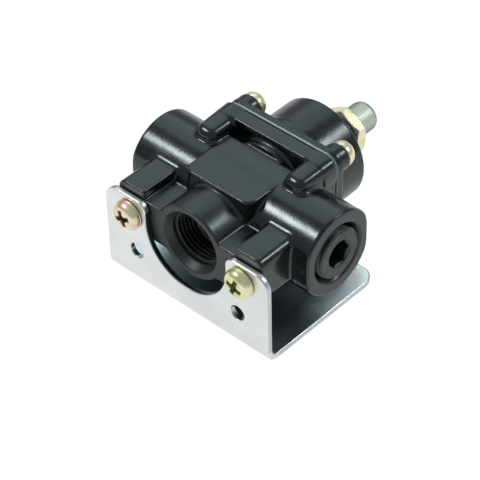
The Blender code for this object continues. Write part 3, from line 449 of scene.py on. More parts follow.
def onto_skin(field: Field, points: Array, rounds: int, reach: float) -> Array:
    """Points moved down the field's slope onto its zero.

    Args:
        field: The form.
        points: The points, in mm.
        rounds: How many steps to take.
        reach: The size of a grid cell, in mm, of which a step takes STEP_SHARE at most.

    Returns:
        The moved points.
    """
    for _ in range(rounds):
        value, slopes = slope(field, points)
        length = np.maximum((slopes**2).sum(axis=1), LEAST_SLOPE)
        move = slopes * (value / length)[:, None]
        size = np.maximum(np.linalg.norm(move, axis=1), 1e-9)
        points = points - move * np.minimum(1.0, STEP_SHARE * reach / size)[:, None]
    return points


def edge_mark(field: Field, points: Array, start: float, gain: float) -> Array:
    """How strongly an outer edge is marked, as wear and, on the castings, also as a painted
    highlight: its bend past a start, times a gain.

    Args:
        field: The form.
        points: Points on its skin.
        start: The bend at which wear starts.
        gain: How fast it grows with the bend.

    Returns:
        The mark. The bend is the mean of the field one step away in six directions, over that
        step: above 0 on an outer edge and below 0 in a corner.
    """
    total = np.zeros(len(points))
    for offset in CURVE_STEP * np.eye(3):
        total += field(*(points - offset).T) + field(*(points + offset).T)
    return (total / 6.0 / CURVE_STEP - start) * gain


def grid_faces(rings: int, count: int, closed: bool) -> Array:
    """Faces between rings of points.

    Args:
        rings: Number of rings.
        count: Points in one ring.
        closed: Whether the last ring is joined to the first.

    Returns:
        One face from each point to its neighbours in its ring and in the next.
    """
    i, j = np.meshgrid(np.arange(rings if closed else rings - 1), np.arange(count), indexing="ij")
    next_i, next_j = (i + 1) % rings, (j + 1) % count
    corners = [i * count + j, next_i * count + j, next_i * count + next_j, i * count + next_j]
    return np.stack([corner.ravel() for corner in corners], axis=1)


def turned_skin(radii: Array, along: Array, axis: str, steps: int) -> Skin:
    """A closed profile carried round an axis through the middle of the casting.

    Args:
        radii: The profile's radii, one row an angle or one row in all.
        along: The profile's places along the axis, of the same shape.
        axis: The axis, X or Y.
        steps: Number of angles.

    Returns:
        A ring-shaped skin with no seam: point (i, j) is profile point j at angle i.
    """
    angle = np.linspace(0.0, math.tau, steps, endpoint=False)[:, None]
    radii = np.broadcast_to(radii, (steps, np.shape(radii)[-1]))
    along = np.broadcast_to(along, radii.shape)
    u, v = radii * np.cos(angle), AXIS_HEIGHT + radii * np.sin(angle)
    order = (along, u, v) if axis == "X" else (u, along, v)
    points = np.stack([part.ravel() for part in order], axis=1)
    return Skin(points, grid_faces(steps, radii.shape[1], closed=True))


@dataclass
class Dresser:
    """Puts skins into Blender as pieces of the object, and counts their triangles."""

    triangles: int = 0

    def piece(
        self, name: str, skin: Skin, material: Material, body: Body, slot: Slot,
        nodes: tuple[str, ...] = (), marks: dict[str, Array] | None = None,
    ) -> None:
        """Makes one piece, rides it on its body and hides the nodes that it stands for.

        Args:
            name: The piece's name.
            skin: Its skin, in mm.
            material: Its finish.
            body: The body that it moves with.
            slot: Not used.
            nodes: The CAD nodes that it replaces.
            marks: Values at each point that the finish reads, by name.
        """
        thing = self._thing(name, skin, material, marks or {})
        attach(thing, body.value)
        if nodes:
            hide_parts(*nodes)

    def coil(
        self, name: str, skin: Skin, material: Material, body: Body, span: Pair, node: str
    ) -> None:
        """Makes one piece of a spring and hides the node that it replaces.

        Args:
            name: The piece's name.
            skin: Its skin, in mm.
            material: Its finish.
            body: Not used.
            span: The places along Y, in mm, of its still end and its other end.
            node: The CAD node that it replaces.
        """
        thing = self._thing(name, skin, material, {})
        start, end = [(0.0, place * MM, AXIS_HEIGHT * MM) for place in span]
        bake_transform(thing)
        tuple(start)
        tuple(end)
        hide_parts(node)

    def _thing(
        self, name: str, skin: Skin, material: Material, marks: dict[str, Array]
    ) -> bpy.types.Object:
        """A smooth-shaded object.

        Args:
            name: Its name.
            skin: Its skin, in mm.
            material: Its finish.
            marks: Values at each point, kept from 0 to 1, by name.

        Returns:
            The object.
        """
        skin = skin.facing_out()
        mesh = bpy.data.meshes.new(name)
        mesh.from_pydata(skin.points * MM, [], skin.faces)
        for mark, values in marks.items():
            attribute = mesh.attributes.new(mark, "FLOAT", "POINT")
            attribute.data.foreach_set("value", np.clip(values, 0.0, 1.0).astype(np.float32))
        mesh.shade_smooth()
        mesh.materials.append(material)
        thing = bpy.data.objects.new(name, mesh)
        bpy.context.scene.collection.objects.link(thing)
        triangles = 2 * len(skin.faces)
        self.triangles += triangles
        LOG.info("%s: %d triangles", name, triangles)
        return thing


# Shader nodes


class Graph:
    """A node tree, with short calls for the few kinds of node that are used."""

    def __init__(self, tree: Tree) -> None:
        """Takes the tree that nodes are added to."""
        self.tree = tree

    def feed(self, socket: Socket, value: Any) -> None:
        """Gives an input its value.

        Args:
            socket: The input.
            value: A socket that it is joined to, or a number, a vector or (red, green, blue).
        """
        if isinstance(value, Socket):
            self.tree.links.new(value, socket)
        elif socket.type == "RGBA":
            socket.default_value = (*value, 1.0)
        else:
            socket.default_value = value

    def node(self, kind: str, inputs: dict[str | int, Any] | None = None, **settings: Any) -> Node:
        """A new node.

        Args:
            kind: Blender's name of its type, after the word ShaderNode.
            inputs: What its inputs are given, by name or number.
            **settings: Its own properties, set before the inputs.

        Returns:
            The node.
        """
        node = self.tree.nodes.new(f"ShaderNode{kind}")
        for name, setting in settings.items():
            setattr(node, name, setting)
        for label, value in (inputs or {}).items():
            self.feed(node.inputs[label], value)
        return node

    def math(self, operation: str, one: Socket, two: Socket | float = 0.0) -> Socket:
        """One sum of two inputs, by Blender's name of the operation."""
        return self.node("Math", {0: one, 1: two}, operation=operation).outputs[0]

    def noise(
        self, place: Socket, scale: Socket | float, detail: float, distortion: float = 0.0
    ) -> Socket:
        """Even noise of about 0.3 to 0.7.

        Args:
            place: Where it is read.
            scale: How fine it is.
            detail: How many finer layers it has.
            distortion: How much it is pulled about.

        Returns:
            Its value.
        """
        inputs = {"Vector": place, "Scale": scale, "Detail": detail, "Distortion": distortion}
        return self.node("TexNoise", inputs).outputs["Fac"]


class Shelf:
    """The node groups that several finishes share, each built once."""

    def __init__(self) -> None:
        """Builds every group."""
        self.grain = self._grain()
        self.cast_skin = self._cast_skin()
        self.turning = self._turning()
        self.film = self._film()

    @staticmethod
    def _start(name: str, numbers: dict[str, float], *results: str) -> tuple[Graph, Node, Node]:
        """An empty group that reads a place.

        Args:
            name: The group's name.
            numbers: Its other inputs, with their default values.
            *results: Its outputs, of which one named Color is a colour.

        Returns:
            The group and its input and output nodes.
        """
        tree = bpy.data.node_groups.new(name, "ShaderNodeTree")
        tree.interface.new_socket("Place", in_out="INPUT", socket_type="NodeSocketVector")
        for label, value in numbers.items():
            socket = tree.interface.new_socket(label, in_out="INPUT", socket_type="NodeSocketFloat")
            socket.default_value = value
        for label in results:
            kind = "NodeSocketColor" if label == "Color" else "NodeSocketFloat"
            tree.interface.new_socket(label, in_out="OUTPUT", socket_type=kind)
        return Graph(tree), tree.nodes.new("NodeGroupInput"), tree.nodes.new("NodeGroupOutput")

    def _grain(self) -> Tree:
        """Even fine grain with slow patches.

        Returns:
            A group that gives Height and Patch from a place and two scales.
        """
        graph, enter, leave = self._start(
            "fine_grain", {"Fine": 3000.0, "Slow": 220.0}, "Height", "Patch"
        )
        for scale, result, detail in (("Fine", "Height", 3.0), ("Slow", "Patch", 4.0)):
            noise = graph.noise(enter.outputs["Place"], enter.outputs[scale], detail)
            graph.feed(leave.inputs[result], noise)
        return graph.tree

    def _cast_skin(self) -> Tree:
        """A die casting's skin: low swells, fine grain and a few pits.

        Returns:
            A group that gives Height, the sum of three noises of rising scale.
        """
        graph, enter, leave = self._start("cast_skin", {}, "Height")
        swell, grain, pits = [
            graph.math("MULTIPLY", graph.noise(enter.outputs["Place"], scale, 2.0), share)
            for scale, share in ((420.0, 1.0), (1500.0, 0.55), (4200.0, 0.2))
        ]
        height = graph.math("ADD", graph.math("ADD", swell, grain), pits)
        graph.feed(leave.inputs["Height"], height)
        return graph.tree

    def _turning(self) -> Tree:
        """Turning marks: rings a fixed pitch apart round the Z axis of a place.

        Returns:
            A group that gives Height, the sine of the distance from that axis.
        """
        graph, enter, leave = self._start("turning_marks", {"Rings": 3200.0}, "Height")
        inputs = {0: enter.outputs["Place"], 1: (1.0, 1.0, 0.0)}
        flat = graph.node("VectorMath", inputs, operation="MULTIPLY").outputs["Vector"]
        reach = graph.node("VectorMath", {0: flat}, operation="LENGTH").outputs["Value"]
        wave = graph.math("SINE", graph.math("MULTIPLY", reach, enter.outputs["Rings"]))
        graph.feed(leave.inputs["Height"], wave)
        return graph.tree

    def _film(self) -> Tree:
        """The pale film of yellow zinc: straw, rose and green patches.

        Returns:
            A group that gives Color, a ramp of four colours over a noise with a bias.
        """
        graph, enter, leave = self._start("zinc_film", {"Scale": 190.0, "Bias": 0.0}, "Color")
        ramp = graph.node("ValToRGB")
        bands = ramp.color_ramp.elements
        bands[0].position, bands[0].color = 0.3, (0.77, 0.80, 0.40, 1.0)
        bands[1].position, bands[1].color = 0.72, (0.93, 0.60, 0.46, 1.0)
        bands.new(0.42).color = (0.97, 0.90, 0.52, 1.0)
        bands.new(0.55).color = (0.97, 0.86, 0.64, 1.0)
        noise = graph.noise(enter.outputs["Place"], enter.outputs["Scale"], 2.5, 0.6)
        graph.feed(ramp.inputs["Fac"], graph.math("ADD", noise, enter.outputs["Bias"]))
        graph.feed(leave.inputs["Color"], ramp.outputs["Color"])
        return graph.tree


class Wiring(Graph):
    """A material's own nodes."""

    def __init__(self, name: str) -> None:
        """Makes the material, its Principled shader and its Object coordinates."""
        self.material = bpy.data.materials.new(name)
        self.material.use_nodes = True
        super().__init__(self.material.node_tree)
        self.shader = self.tree.nodes["Principled BSDF"]
        self.place = self.node("TexCoord").outputs["Object"]

    def group(self, tree: Tree, place: Socket | None = None, **inputs: Socket | float) -> Node:
        """A shared group in this material.

        Args:
            tree: The group.
            place: What its Place input reads, or None for the Object coordinates.
            **inputs: Its other inputs.

        Returns:
            The group node.
        """
        place = self.place if place is None else place
        return self.node("Group", {"Place": place, **inputs}, node_tree=tree)

    def mark(self, name: str) -> Socket:
        """A value that the mesh holds at each point, or 0 where it holds none of that name."""
        return self.node("Attribute", attribute_name=name).outputs["Fac"]

    def facing(self) -> Socket:
        """How far the surface turns away from the viewer, from 0 to 1."""
        return self.node("LayerWeight").outputs["Facing"]

    def plus(self, value: Socket, other: Socket, share: float) -> Socket:
        """A value with a share of another added."""
        return self.math("ADD", value, self.math("MULTIPLY", other, share))

    def spread(
        self, value: Socket, span: Pair, to_low: float = 0.0, to_high: float = 1.0
    ) -> Socket:
        """A value carried from one span to another.

        Args:
            value: The value.
            span: The span that it is carried from; past it the result stays at its end.
            to_low: The result at the span's start.
            to_high: The result at the span's end.

        Returns:
            The result.
        """
        inputs = {"Value": value, "From Min": span[0], "From Max": span[1]}
        inputs.update({"To Min": to_low, "To Max": to_high})
        return self.node("MapRange", inputs).outputs["Result"]

    def blend(self, share: Socket, one: Triple | Socket, two: Triple | Socket) -> Socket:
        """A colour between two others, by its share of the second."""
        inputs = {"Factor": share, 6: one, 7: two}
        return self.node("Mix", inputs, data_type="RGBA").outputs[2]

    def about(self, centre: Triple, degrees: Triple) -> Socket:
        """Object coordinates about a point, turned so that an axis of the object becomes Z.

        Args:
            centre: The point, in metres.
            degrees: The turn about each axis.

        Returns:
            The new coordinates.
        """
        shift = self.node("VectorMath", {0: self.place, 1: centre}, operation="SUBTRACT")
        rotation = tuple(math.radians(angle) for angle in degrees)
        inputs = {"Vector": shift.outputs["Vector"], "Rotation": rotation}
        return self.node("Mapping", inputs).outputs["Vector"]

    def along(self, axis: int) -> Socket:
        """One of the Object coordinates."""
        return self.node("SeparateXYZ", {"Vector": self.place}).outputs[axis]

    def surface(
        self, height: Socket, depth: float, strength: float, inputs: dict[str, Any]
    ) -> Material:
        """The finished material.

        Args:
            height: Its relief.
            depth: The depth of the relief, in metres.
            strength: How much of the relief shows.
            inputs: What the shader's other inputs are given.

        Returns:
            The material.
        """
        bump = self.node("Bump", {"Height": height, "Distance": depth, "Strength": strength})
        for label, value in {**inputs, "Normal": bump.outputs["Normal"]}.items():
            self.feed(self.shader.inputs[label], value)
        return self.material


@dataclass(frozen=True)
class CastFinish:
    """Black coating over a die casting, with uncoated turned faces where it was machined, and
    painted highlights on its edges and along the cover's lip.

    Each pair that is named a span is the part of a noise that a change runs over.
    """

    coat: Triple = (0.0016, 0.0022, 0.0024)
    coat_pale: Triple = (0.0085, 0.0105, 0.0110)
    coat_span: Pair = (0.40, 0.68)
    # Lighter edge colour: partly wear, partly a painted highlight along rounded edges.
    edge: Triple = (0.082, 0.100, 0.100)
    worn_span: Pair = (0.3, 0.6)
    worn_least: float = 0.4
    # Painted highlight: a near-white line along the cover's front lip.
    painted_lip_highlight: Triple = (0.74, 0.84, 0.83)
    machined: Triple = (0.011, 0.0095, 0.008)
    speck: Triple = (0.026, 0.031, 0.032)
    speck_span: Pair = (0.60, 0.74)
    scuff_share: float = 0.28
    relief: float = 0.00005
    relief_strength: float = 0.6
    specular: float = 0.72
    shine: Triple = (0.88, 0.98, 1.0)
    roughness: float = 0.17
    patch_span: Pair = (0.3, 0.7)
    patch_rough: float = 0.06
    worn_rough: float = 0.25
    dust_span: Pair = (0.55, 0.75)
    dust_rough: float = 0.08
    scuff_rough: float = 0.11
    turned_rough: float = 0.14
    rings: float = 21000.0
    ring_share: float = 0.12
    face_margin: float = 0.05
    axis_point: Triple = (0.0, 0.0, AXIS_HEIGHT * MM)

    def build(
        self, shelf: Shelf, front: float | None = None, ends: float | None = None
    ) -> Material:
        """The finish as a material.

        Args:
            shelf: The shared groups.
            front: Where the machined face across Y lies, in mm, or None.
            ends: How far the machined faces across X lie from the middle, in mm, or None.

        Returns:
            The material.
        """
        wiring = Wiring("black_coated_casting")
        grain = wiring.group(shelf.grain, Fine=2600.0, Slow=160.0)
        dust = wiring.group(shelf.grain, Fine=2300.0, Slow=900.0).outputs["Height"]
        wear = wiring.spread(grain.outputs["Height"], self.worn_span, self.worn_least)
        edge_wear_and_sheen = wiring.math("MULTIPLY", wiring.mark("edge"), wear)
        scuffed = wiring.mark("scuffed")
        patch = wiring.spread(grain.outputs["Patch"], self.coat_span)
        colour = wiring.blend(patch, self.coat, self.coat_pale)
        colour = wiring.blend(wiring.spread(dust, self.speck_span), colour, self.speck)
        scuff = wiring.math("MULTIPLY", scuffed, self.scuff_share)
        colour = wiring.blend(scuff, colour, self.speck)
        # Edges lightened: partly wear, partly a painted highlight.
        colour = wiring.blend(edge_wear_and_sheen, colour, self.edge)
        # Painted highlight line along the cover's lip.
        colour = wiring.blend(wiring.mark("painted_lip_highlight"), colour, self.painted_lip_highlight)
        dullest = self.roughness + self.patch_rough
        roughness = wiring.spread(grain.outputs["Patch"], self.patch_span, self.roughness, dullest)
        roughness = wiring.plus(roughness, edge_wear_and_sheen, self.worn_rough)
        dulled = wiring.spread(dust, self.dust_span, 0.0, self.dust_rough)
        roughness = wiring.math("ADD", roughness, dulled)
        roughness = wiring.plus(roughness, scuffed, self.scuff_rough)
        height = wiring.group(shelf.cast_skin).outputs["Height"]
        for mask, place in self._machined_faces(wiring, front, ends):
            colour = wiring.blend(mask, colour, self.machined)
            rings = wiring.group(shelf.turning, place, Rings=self.rings).outputs["Height"]
            rings = wiring.math("MULTIPLY", rings, self.ring_share)
            turned = wiring.math("MULTIPLY", mask, wiring.math("SUBTRACT", rings, height))
            height = wiring.math("ADD", height, turned)
            roughness = wiring.plus(roughness, mask, self.turned_rough)
        inputs = {"Base Color": colour, "Roughness": roughness}
        inputs.update({"Specular IOR Level": self.specular, "Specular Tint": self.shine})
        return wiring.surface(height, self.relief, self.relief_strength, inputs)

    def _machined_faces(
        self, wiring: Wiring, front: float | None, ends: float | None
    ) -> list[tuple[Socket, Socket]]:
        """Where the machined faces lie.

        Args:
            wiring: The material's nodes.
            front: Where the machined face across Y lies, in mm, or None.
            ends: How far the machined faces across X lie from the middle, in mm, or None.

        Returns:
            For the front and for the ends a mask, with coordinates whose Z is the face's axis.
        """
        faces = []
        if front is not None:
            mask = wiring.math("LESS_THAN", wiring.along(1), (front + self.face_margin) * MM)
            mask = wiring.math("MAXIMUM", mask, wiring.mark("inlet_mouth"))
            faces.append((mask, wiring.about(self.axis_point, (90.0, 0.0, 0.0))))
        if ends is not None:
            reach = wiring.math("ABSOLUTE", wiring.along(0))
            mask = wiring.math("GREATER_THAN", reach, (ends - self.face_margin) * MM)
            mask = wiring.math("MAXIMUM", mask, wiring.mark("outlet_mouth"))
            faces.append((mask, wiring.about(self.axis_point, (0.0, 90.0, 0.0))))
        return faces


@dataclass(frozen=True)
class ZincFinish:
    """Zinc plate on steel: nearly white, softly cloudy, darker where sheared, with a painted sky
    reflection, a painted shade and a painted dark reflection.
    """

    pale: Triple = (0.90, 0.908, 0.90)
    dull: Triple = (0.80, 0.825, 0.815)
    sheared: Triple = (0.62, 0.65, 0.66)
    # Painted reflection: the notch's cut edges darkened, as if mirroring the black casting.
    painted_notch_reflection: Triple = (0.10, 0.135, 0.15)
    # Painted reflection: the base plate's top tinted blue, as if mirroring a bluish sky.
    painted_sky_reflection: Triple = (0.72, 0.81, 0.835)
    # Painted shade: a dark patch on the base plate under the inlet boss.
    painted_shade_under_boss: Triple = (0.26, 0.33, 0.345)
    patch_span: Pair = (0.3, 0.7)
    rough: Pair = (0.28, 0.38)
    relief: float = 0.00001
    relief_strength: float = 0.25

    def build(self, shelf: Shelf) -> Material:
        """The finish as a material.

        Args:
            shelf: The shared groups.

        Returns:
            The material.
        """
        wiring = Wiring("clear_zinc_plate")
        grain = wiring.group(shelf.grain, Fine=5200.0, Slow=90.0)
        patch = grain.outputs["Patch"]
        colour = wiring.blend(wiring.spread(patch, self.patch_span), self.pale, self.dull)
        # Three of these tints are painted light: the sky reflection, the shade under the boss and
        # the notch's dark reflection.
        tints = {"painted_sky_reflection": self.painted_sky_reflection, "painted_shade_under_boss": self.painted_shade_under_boss, "edge": self.sheared,
                 "painted_notch_reflection": self.painted_notch_reflection}
        for mark, tint in tints.items():
            colour = wiring.blend(wiring.mark(mark), colour, tint)
        rough = wiring.spread(patch, self.patch_span, *self.rough)
        inputs = {"Base Color": colour, "Roughness": rough, "Metallic": 1.0}
        return wiring.surface(grain.outputs["Height"], self.relief, self.relief_strength, inputs)


@dataclass(frozen=True)
class ChromateFinish:
    """Yellow zinc with its faint rainbow, darker and browner inside a cross recess, the deeper the
    more.

    The film is greener or rosier from head to head: past cover_side from the middle by the
    product of X and Y, times quarter_gain, and nearer the middle by middle_bias.
    """

    recess_brown: Triple = (0.10, 0.055, 0.028)
    edge: Triple = (0.96, 0.94, 0.82)
    film_scale: float = 170.0
    cover_side: float = 0.011
    quarter_gain: float = 220.0
    middle_bias: float = 0.06
    recess_span: Pair = (0.3, 0.55)
    recess_least: float = 0.5
    patch_span: Pair = (0.3, 0.7)
    rough: Pair = (0.24, 0.34)
    recess_rough: float = 0.3
    metallic: Pair = (0.74, 0.25)
    relief: float = 0.000005
    relief_strength: float = 0.2

    def build(self, shelf: Shelf) -> Material:
        """The finish as a material.

        Args:
            shelf: The shared groups.

        Returns:
            The material.
        """
        wiring = Wiring("yellow_zinc_plate")
        x, y = wiring.along(0), wiring.along(1)
        beside = wiring.math("GREATER_THAN", wiring.math("ABSOLUTE", x), self.cover_side)
        quarter = wiring.math("MULTIPLY", wiring.math("MULTIPLY", x, y), self.quarter_gain)
        quarter = wiring.math("MULTIPLY", quarter, beside)
        bias = wiring.plus(quarter, wiring.math("SUBTRACT", beside, 1.0), self.middle_bias)
        film = wiring.group(shelf.film, Scale=self.film_scale, Bias=bias).outputs["Color"]
        grain = wiring.group(shelf.grain, Fine=4200.0, Slow=500.0)
        patch = grain.outputs["Patch"]
        colour = wiring.blend(wiring.mark("edge"), film, self.edge)
        # Darker, browner, rougher and less metallic deeper in the recess.
        depth = wiring.spread(patch, self.recess_span, self.recess_least)
        recess_share = wiring.math("MULTIPLY", wiring.mark("recess"), depth)
        rough = wiring.spread(patch, self.patch_span, *self.rough)
        return wiring.surface(grain.outputs["Height"], self.relief, self.relief_strength, {
            "Base Color": wiring.blend(recess_share, colour, self.recess_brown),
            "Roughness": wiring.plus(rough, recess_share, self.recess_rough),
            "Metallic": wiring.spread(recess_share, (0.0, 1.0), *self.metallic),
        })


@dataclass(frozen=True)
class BarFinish:
    """Plain or plated bar stock: one metal colour with a second in slow patches, and at will a
    painted shade where it turns from the viewer.
    """

    name: str
    one: Triple
    two: Triple
    rough: Pair
    metallic: float = 1.0
    # Painted shade: a darker colour where the surface turns away from the viewer, standing in for a
    # dark reflection.
    grazing_shade: Triple | None = None
    grazing_shade_span: Pair = (0.15, 0.80)
    colour_span: Pair = (0.32, 0.68)
    rough_span: Pair = (0.3, 0.7)
    relief: float = 0.00002
    relief_strength: float = 0.4

    def build(self, shelf: Shelf) -> Material:
        """The finish as a material.

        Args:
            shelf: The shared groups.

        Returns:
            The material.
        """
        wiring = Wiring(self.name)
        grain = wiring.group(shelf.grain, Fine=3600.0, Slow=320.0)
        height = grain.outputs["Height"]
        patch = wiring.spread(grain.outputs["Patch"], self.colour_span)
        colour = wiring.blend(patch, self.one, self.two)
        # Painted shade towards the silhouette.
        if self.grazing_shade is not None:
            colour = wiring.blend(wiring.spread(wiring.facing(), self.grazing_shade_span), colour, self.grazing_shade)
        rough = wiring.spread(height, self.rough_span, *self.rough)
        inputs = {"Base Color": colour, "Roughness": rough, "Metallic": self.metallic}
        return wiring.surface(height, self.relief, self.relief_strength, inputs)


# The pieces


@dataclass
class Casting:
    """The body casting, in mm, its rise counted from the common axis.

    A bore is given as its radius and where it ends along Y.
    """

    tube_radius: float = 14.1
    tube_flat: float = 13.2
    tube_flat_edge: float = 1.2
    tube_half: float = 34.9
    tube_edge: float = 0.8
    block_half: float = 12.9
    block_front: float = -13.4
    block_back: float = 6.8
    block_corner: float = 3.3
    block_back_corner: float = 1.0
    block_fillet: float = 0.5
    front: float = -24.9
    front_forms_back: float = -4.0
    front_fillet: float = 0.9
    inlet_radius: float = 12.6
    inlet_flare: float = 11.9
    inlet_mouth: float = 10.55
    inlet_depth: float = 2.5
    inlet_floor: float = -15.2
    cage_bore: Pair = (6.2, -6.7)
    seat_bore: Pair = (4.5, 0.5)
    thread_bore: float = 8.85
    passage: float = 5.2
    passage_end: Pair = (18.9, 20.4)
    outlet_mouth: float = 10.2
    outlet_flare: float = 11.62
    outlet_depth: float = 1.9
    flare_reach: float = 2.0
    foot_across: Pair = (18.0, 28.3)
    foot_rise: Pair = (-7.0, 9.0)
    foot_corner: float = 3.0
    foot_inner_corner: float = 0.5
    foot_fillet: float = 0.4
    foot_hole_end: float = -13.8
    web_rise: Pair = (-7.9, 5.85)
    web_across: Pair = (8.0, 20.0)
    web_fillet: float = 0.6
    neck_along: Pair = (7.0, 12.0)
    neck_radius: float = 15.7
    neck_edge: float = 0.45
    neck_fillet: float = 0.6
    flange_front: float = 9.3
    flange_back: float = 14.3
    flange_edge: float = 0.3
    flange_fillet: float = 1.1
    lug_radius: float = 4.2
    lug_draft: float = 0.045
    lug_power: float = 2.8
    lug_nose: float = -0.7
    lug_edge: float = 2.9
    lug_fillet: float = 0.9
    screw_hole_start: float = 3.7
    throat: Pair = (4.2, 7.0)
    throat_end: float = 4.2
    chamber: Pair = (12.0, 14.0)
    chamber_along: Pair = (9.9, 11.9)
    fine_edge: float = 0.4
    bore_edge: float = 0.2
    scuffed_depth: float = 14.0
    scuffed_radius: float = 16.0
    mouth_margin: float = 0.3

    def field(self, x: Array, y: Array, z: Array) -> Array:
        """The casting: its forms joined with fillets, then bored.

        Args:
            x: Place along X.
            y: Place along Y.
            z: Place along Z.

        Returns:
            A field that is negative in the metal.
        """
        rise = z - AXIS_HEIGHT
        across, up = np.abs(x), np.abs(rise)
        form = joined(self._tube(across, y, rise), self._block(x, y, up), self.block_fillet)
        form = joined(form, self._front_forms(across, y, rise), self.front_fillet)
        form = joined(form, self._neck_and_flange(across, y, up), self.neck_fillet)
        form = joined(form, self._lugs(across, y, up), self.lug_fillet)
        return self._bored(form, across, y, rise, up)

    def _tube(self, across: Array, y: Array, rise: Array) -> Array:
        """The cross tube.

        Args:
            across: Distance from the middle along X.
            y: Place along Y.
            rise: Height above the axis.

        Returns:
            A round bar with a flat at its front and its back, cut off at both ends.
        """
        round_bar, flats = ring(y, rise) - self.tube_radius, np.abs(y) - self.tube_flat
        section = common(round_bar, flats, self.tube_flat_edge)
        return common(section, across - self.tube_half, self.tube_edge)

    def _block(self, x: Array, y: Array, up: Array) -> Array:
        """The block over the crossing.

        Args:
            x: Place along X.
            y: Place along Y.
            up: Distance above or below the axis.

        Returns:
            A rectangular plan with larger corners at the front, between two levels.
        """
        middle = 0.5 * (self.block_front + self.block_back)
        half = (self.block_half, 0.5 * (self.block_back - self.block_front))
        corner = np.where(y < middle, self.block_corner, self.block_back_corner)
        plan = rounded_rectangle(x, y - middle, half, corner)
        return common(plan, up - self.tube_radius, self.fine_edge)

    def _front_forms(self, across: Array, y: Array, rise: Array) -> Array:
        """The inlet boss, the two bracket bosses and the webs between them.

        Args:
            across: Distance from the middle along X.
            y: Place along Y.
            rise: Height above the axis.

        Returns:
            Their outlines, a circle, a rectangle and a strip joined, carried along Y.
        """
        boss = ring(across, rise) - self.inlet_radius
        (inner, outer), (bottom, top) = self.foot_across, self.foot_rise
        u, v = across - 0.5 * (inner + outer), rise - 0.5 * (bottom + top)
        corner = np.where(u > 0.0, self.foot_corner, self.foot_inner_corner)
        foot = rounded_rectangle(u, v, (0.5 * (outer - inner), 0.5 * (top - bottom)), corner)
        web = np.maximum(slab(rise, *self.web_rise), slab(across, *self.web_across))
        outline = joined(joined(boss, web, self.web_fillet), foot, self.foot_fillet)
        return common(outline, slab(y, self.front, self.front_forms_back), self.fine_edge)

    def _neck_and_flange(self, across: Array, y: Array, up: Array) -> Array:
        """The round neck and the flange that the cover is screwed to.

        Args:
            across: Distance from the middle along X.
            y: Place along Y.
            up: Distance above or below the axis.

        Returns:
            A round bar joined to a plate with round corners.
        """
        neck = ring(across, up) - self.neck_radius
        neck = common(neck, slab(y, *self.neck_along), self.neck_edge)
        outline = rounded_rectangle(across, up, FLANGE_HALF, FLANGE_CORNER)
        flange = common(outline, slab(y, self.flange_front, self.flange_back), self.flange_edge)
        return joined(neck, flange, self.flange_fillet)

    def _lugs(self, across: Array, y: Array, up: Array) -> Array:
        """Four round-nosed lugs that run forward over the tube.

        Args:
            across: Distance from the middle along X.
            y: Place along Y.
            up: Distance above or below the axis.

        Returns:
            Drafted bars with a section between round and square: the root of the sum of both
            offsets' powers, less the radius.
        """
        radius = self.lug_radius + self.lug_draft * (y - self.neck_along[0])
        u, v = np.abs(across - SCREW_REACH[0]), np.abs(up - SCREW_REACH[1])
        bar = (u**self.lug_power + v**self.lug_power) ** (1.0 / self.lug_power) - radius
        return np.maximum(common(bar, self.lug_nose - y, self.lug_edge), y - self.flange_back)

    def _bored(self, form: Array, across: Array, y: Array, rise: Array, up: Array) -> Array:
        """The form without its ports, valve bore, diaphragm chamber and screw holes.

        Args:
            form: The form.
            across: Distance from the middle along X.
            y: Place along Y.
            rise: Height above the axis.
            up: Distance above or below the axis.

        Returns:
            The form with its holes cut.
        """
        axis = ring(across, rise)
        places = [*self.passage_end, self.tube_half - self.outlet_depth, self.tube_half,
                  self.tube_half + self.flare_reach]
        radii = [self.passage, self.thread_bore, self.thread_bore, self.outlet_mouth,
                 self.outlet_flare]
        form = cut(form, bored(ring(y, rise), across, places, radii), self.bore_edge)
        places = [self.front - self.flare_reach, self.front, self.front + self.inlet_depth]
        radii = [self.inlet_flare, self.inlet_mouth, self.thread_bore]
        inlet = np.maximum(bored(axis, y, places, radii), y - self.inlet_floor)
        for radius, end in (self.cage_bore, self.seat_bore):
            inlet = np.minimum(inlet, np.maximum(axis - radius, y - end))
        form = cut(form, inlet, self.bore_edge)
        throat = np.maximum(bored(axis, y, [0.0, self.throat_end], self.throat), -y)
        chamber = bored(axis, y, self.chamber_along, self.chamber)
        chamber = np.maximum(chamber, self.chamber_along[0] - y)
        screws = np.maximum(about_screws(across, up) - SCREW_HOLE, self.screw_hole_start - y)
        feet = ring(across - BRACKET_REACH, rise) - BRACKET_HOLE
        for hole in (throat, chamber, screws, np.maximum(feet, y - self.foot_hole_end)):
            form = np.maximum(form, -hole)
        return form

    def dress(self, dresser: Dresser, shelf: Shelf, step: float) -> None:
        """Adds the casting.

        Args:
            dresser: Puts it into Blender.
            shelf: The shared groups.
            step: Size of a grid cell, in mm.
        """
        half = (self.tube_half, FLANGE_HALF[1])
        maker = SkinMaker.about_axis(half, self.front, self.flange_back, step)
        skin = maker.skin(self.field)
        x, y, z = skin.points.T
        inlet, outlet = ring(x, z - AXIS_HEIGHT), ring(y, z - AXIS_HEIGHT)
        from_front, from_end = y - self.front, self.tube_half - np.abs(x)
        marks = {
            "edge": edge_mark(self.field, skin.points, *CAST_EDGE_WEAR_AND_SHEEN),
            "inlet_mouth": (inlet < self.inlet_mouth + 0.2)
            & (from_front < self.inlet_depth + self.mouth_margin),
            "scuffed": np.clip((self.scuffed_depth - from_front) / 3.0, 0.0, 1.0)
            * (inlet < self.scuffed_radius),
            "outlet_mouth": (outlet < self.outlet_mouth + 0.8)
            & (from_end < self.outlet_depth + self.mouth_margin),
        }
        finish = CastFinish().build(shelf, self.front, self.tube_half)
        dresser.piece("body_casting", skin, finish, Body.REGULATOR, Slot.CASTING,
                      ("regulator_body",), marks)


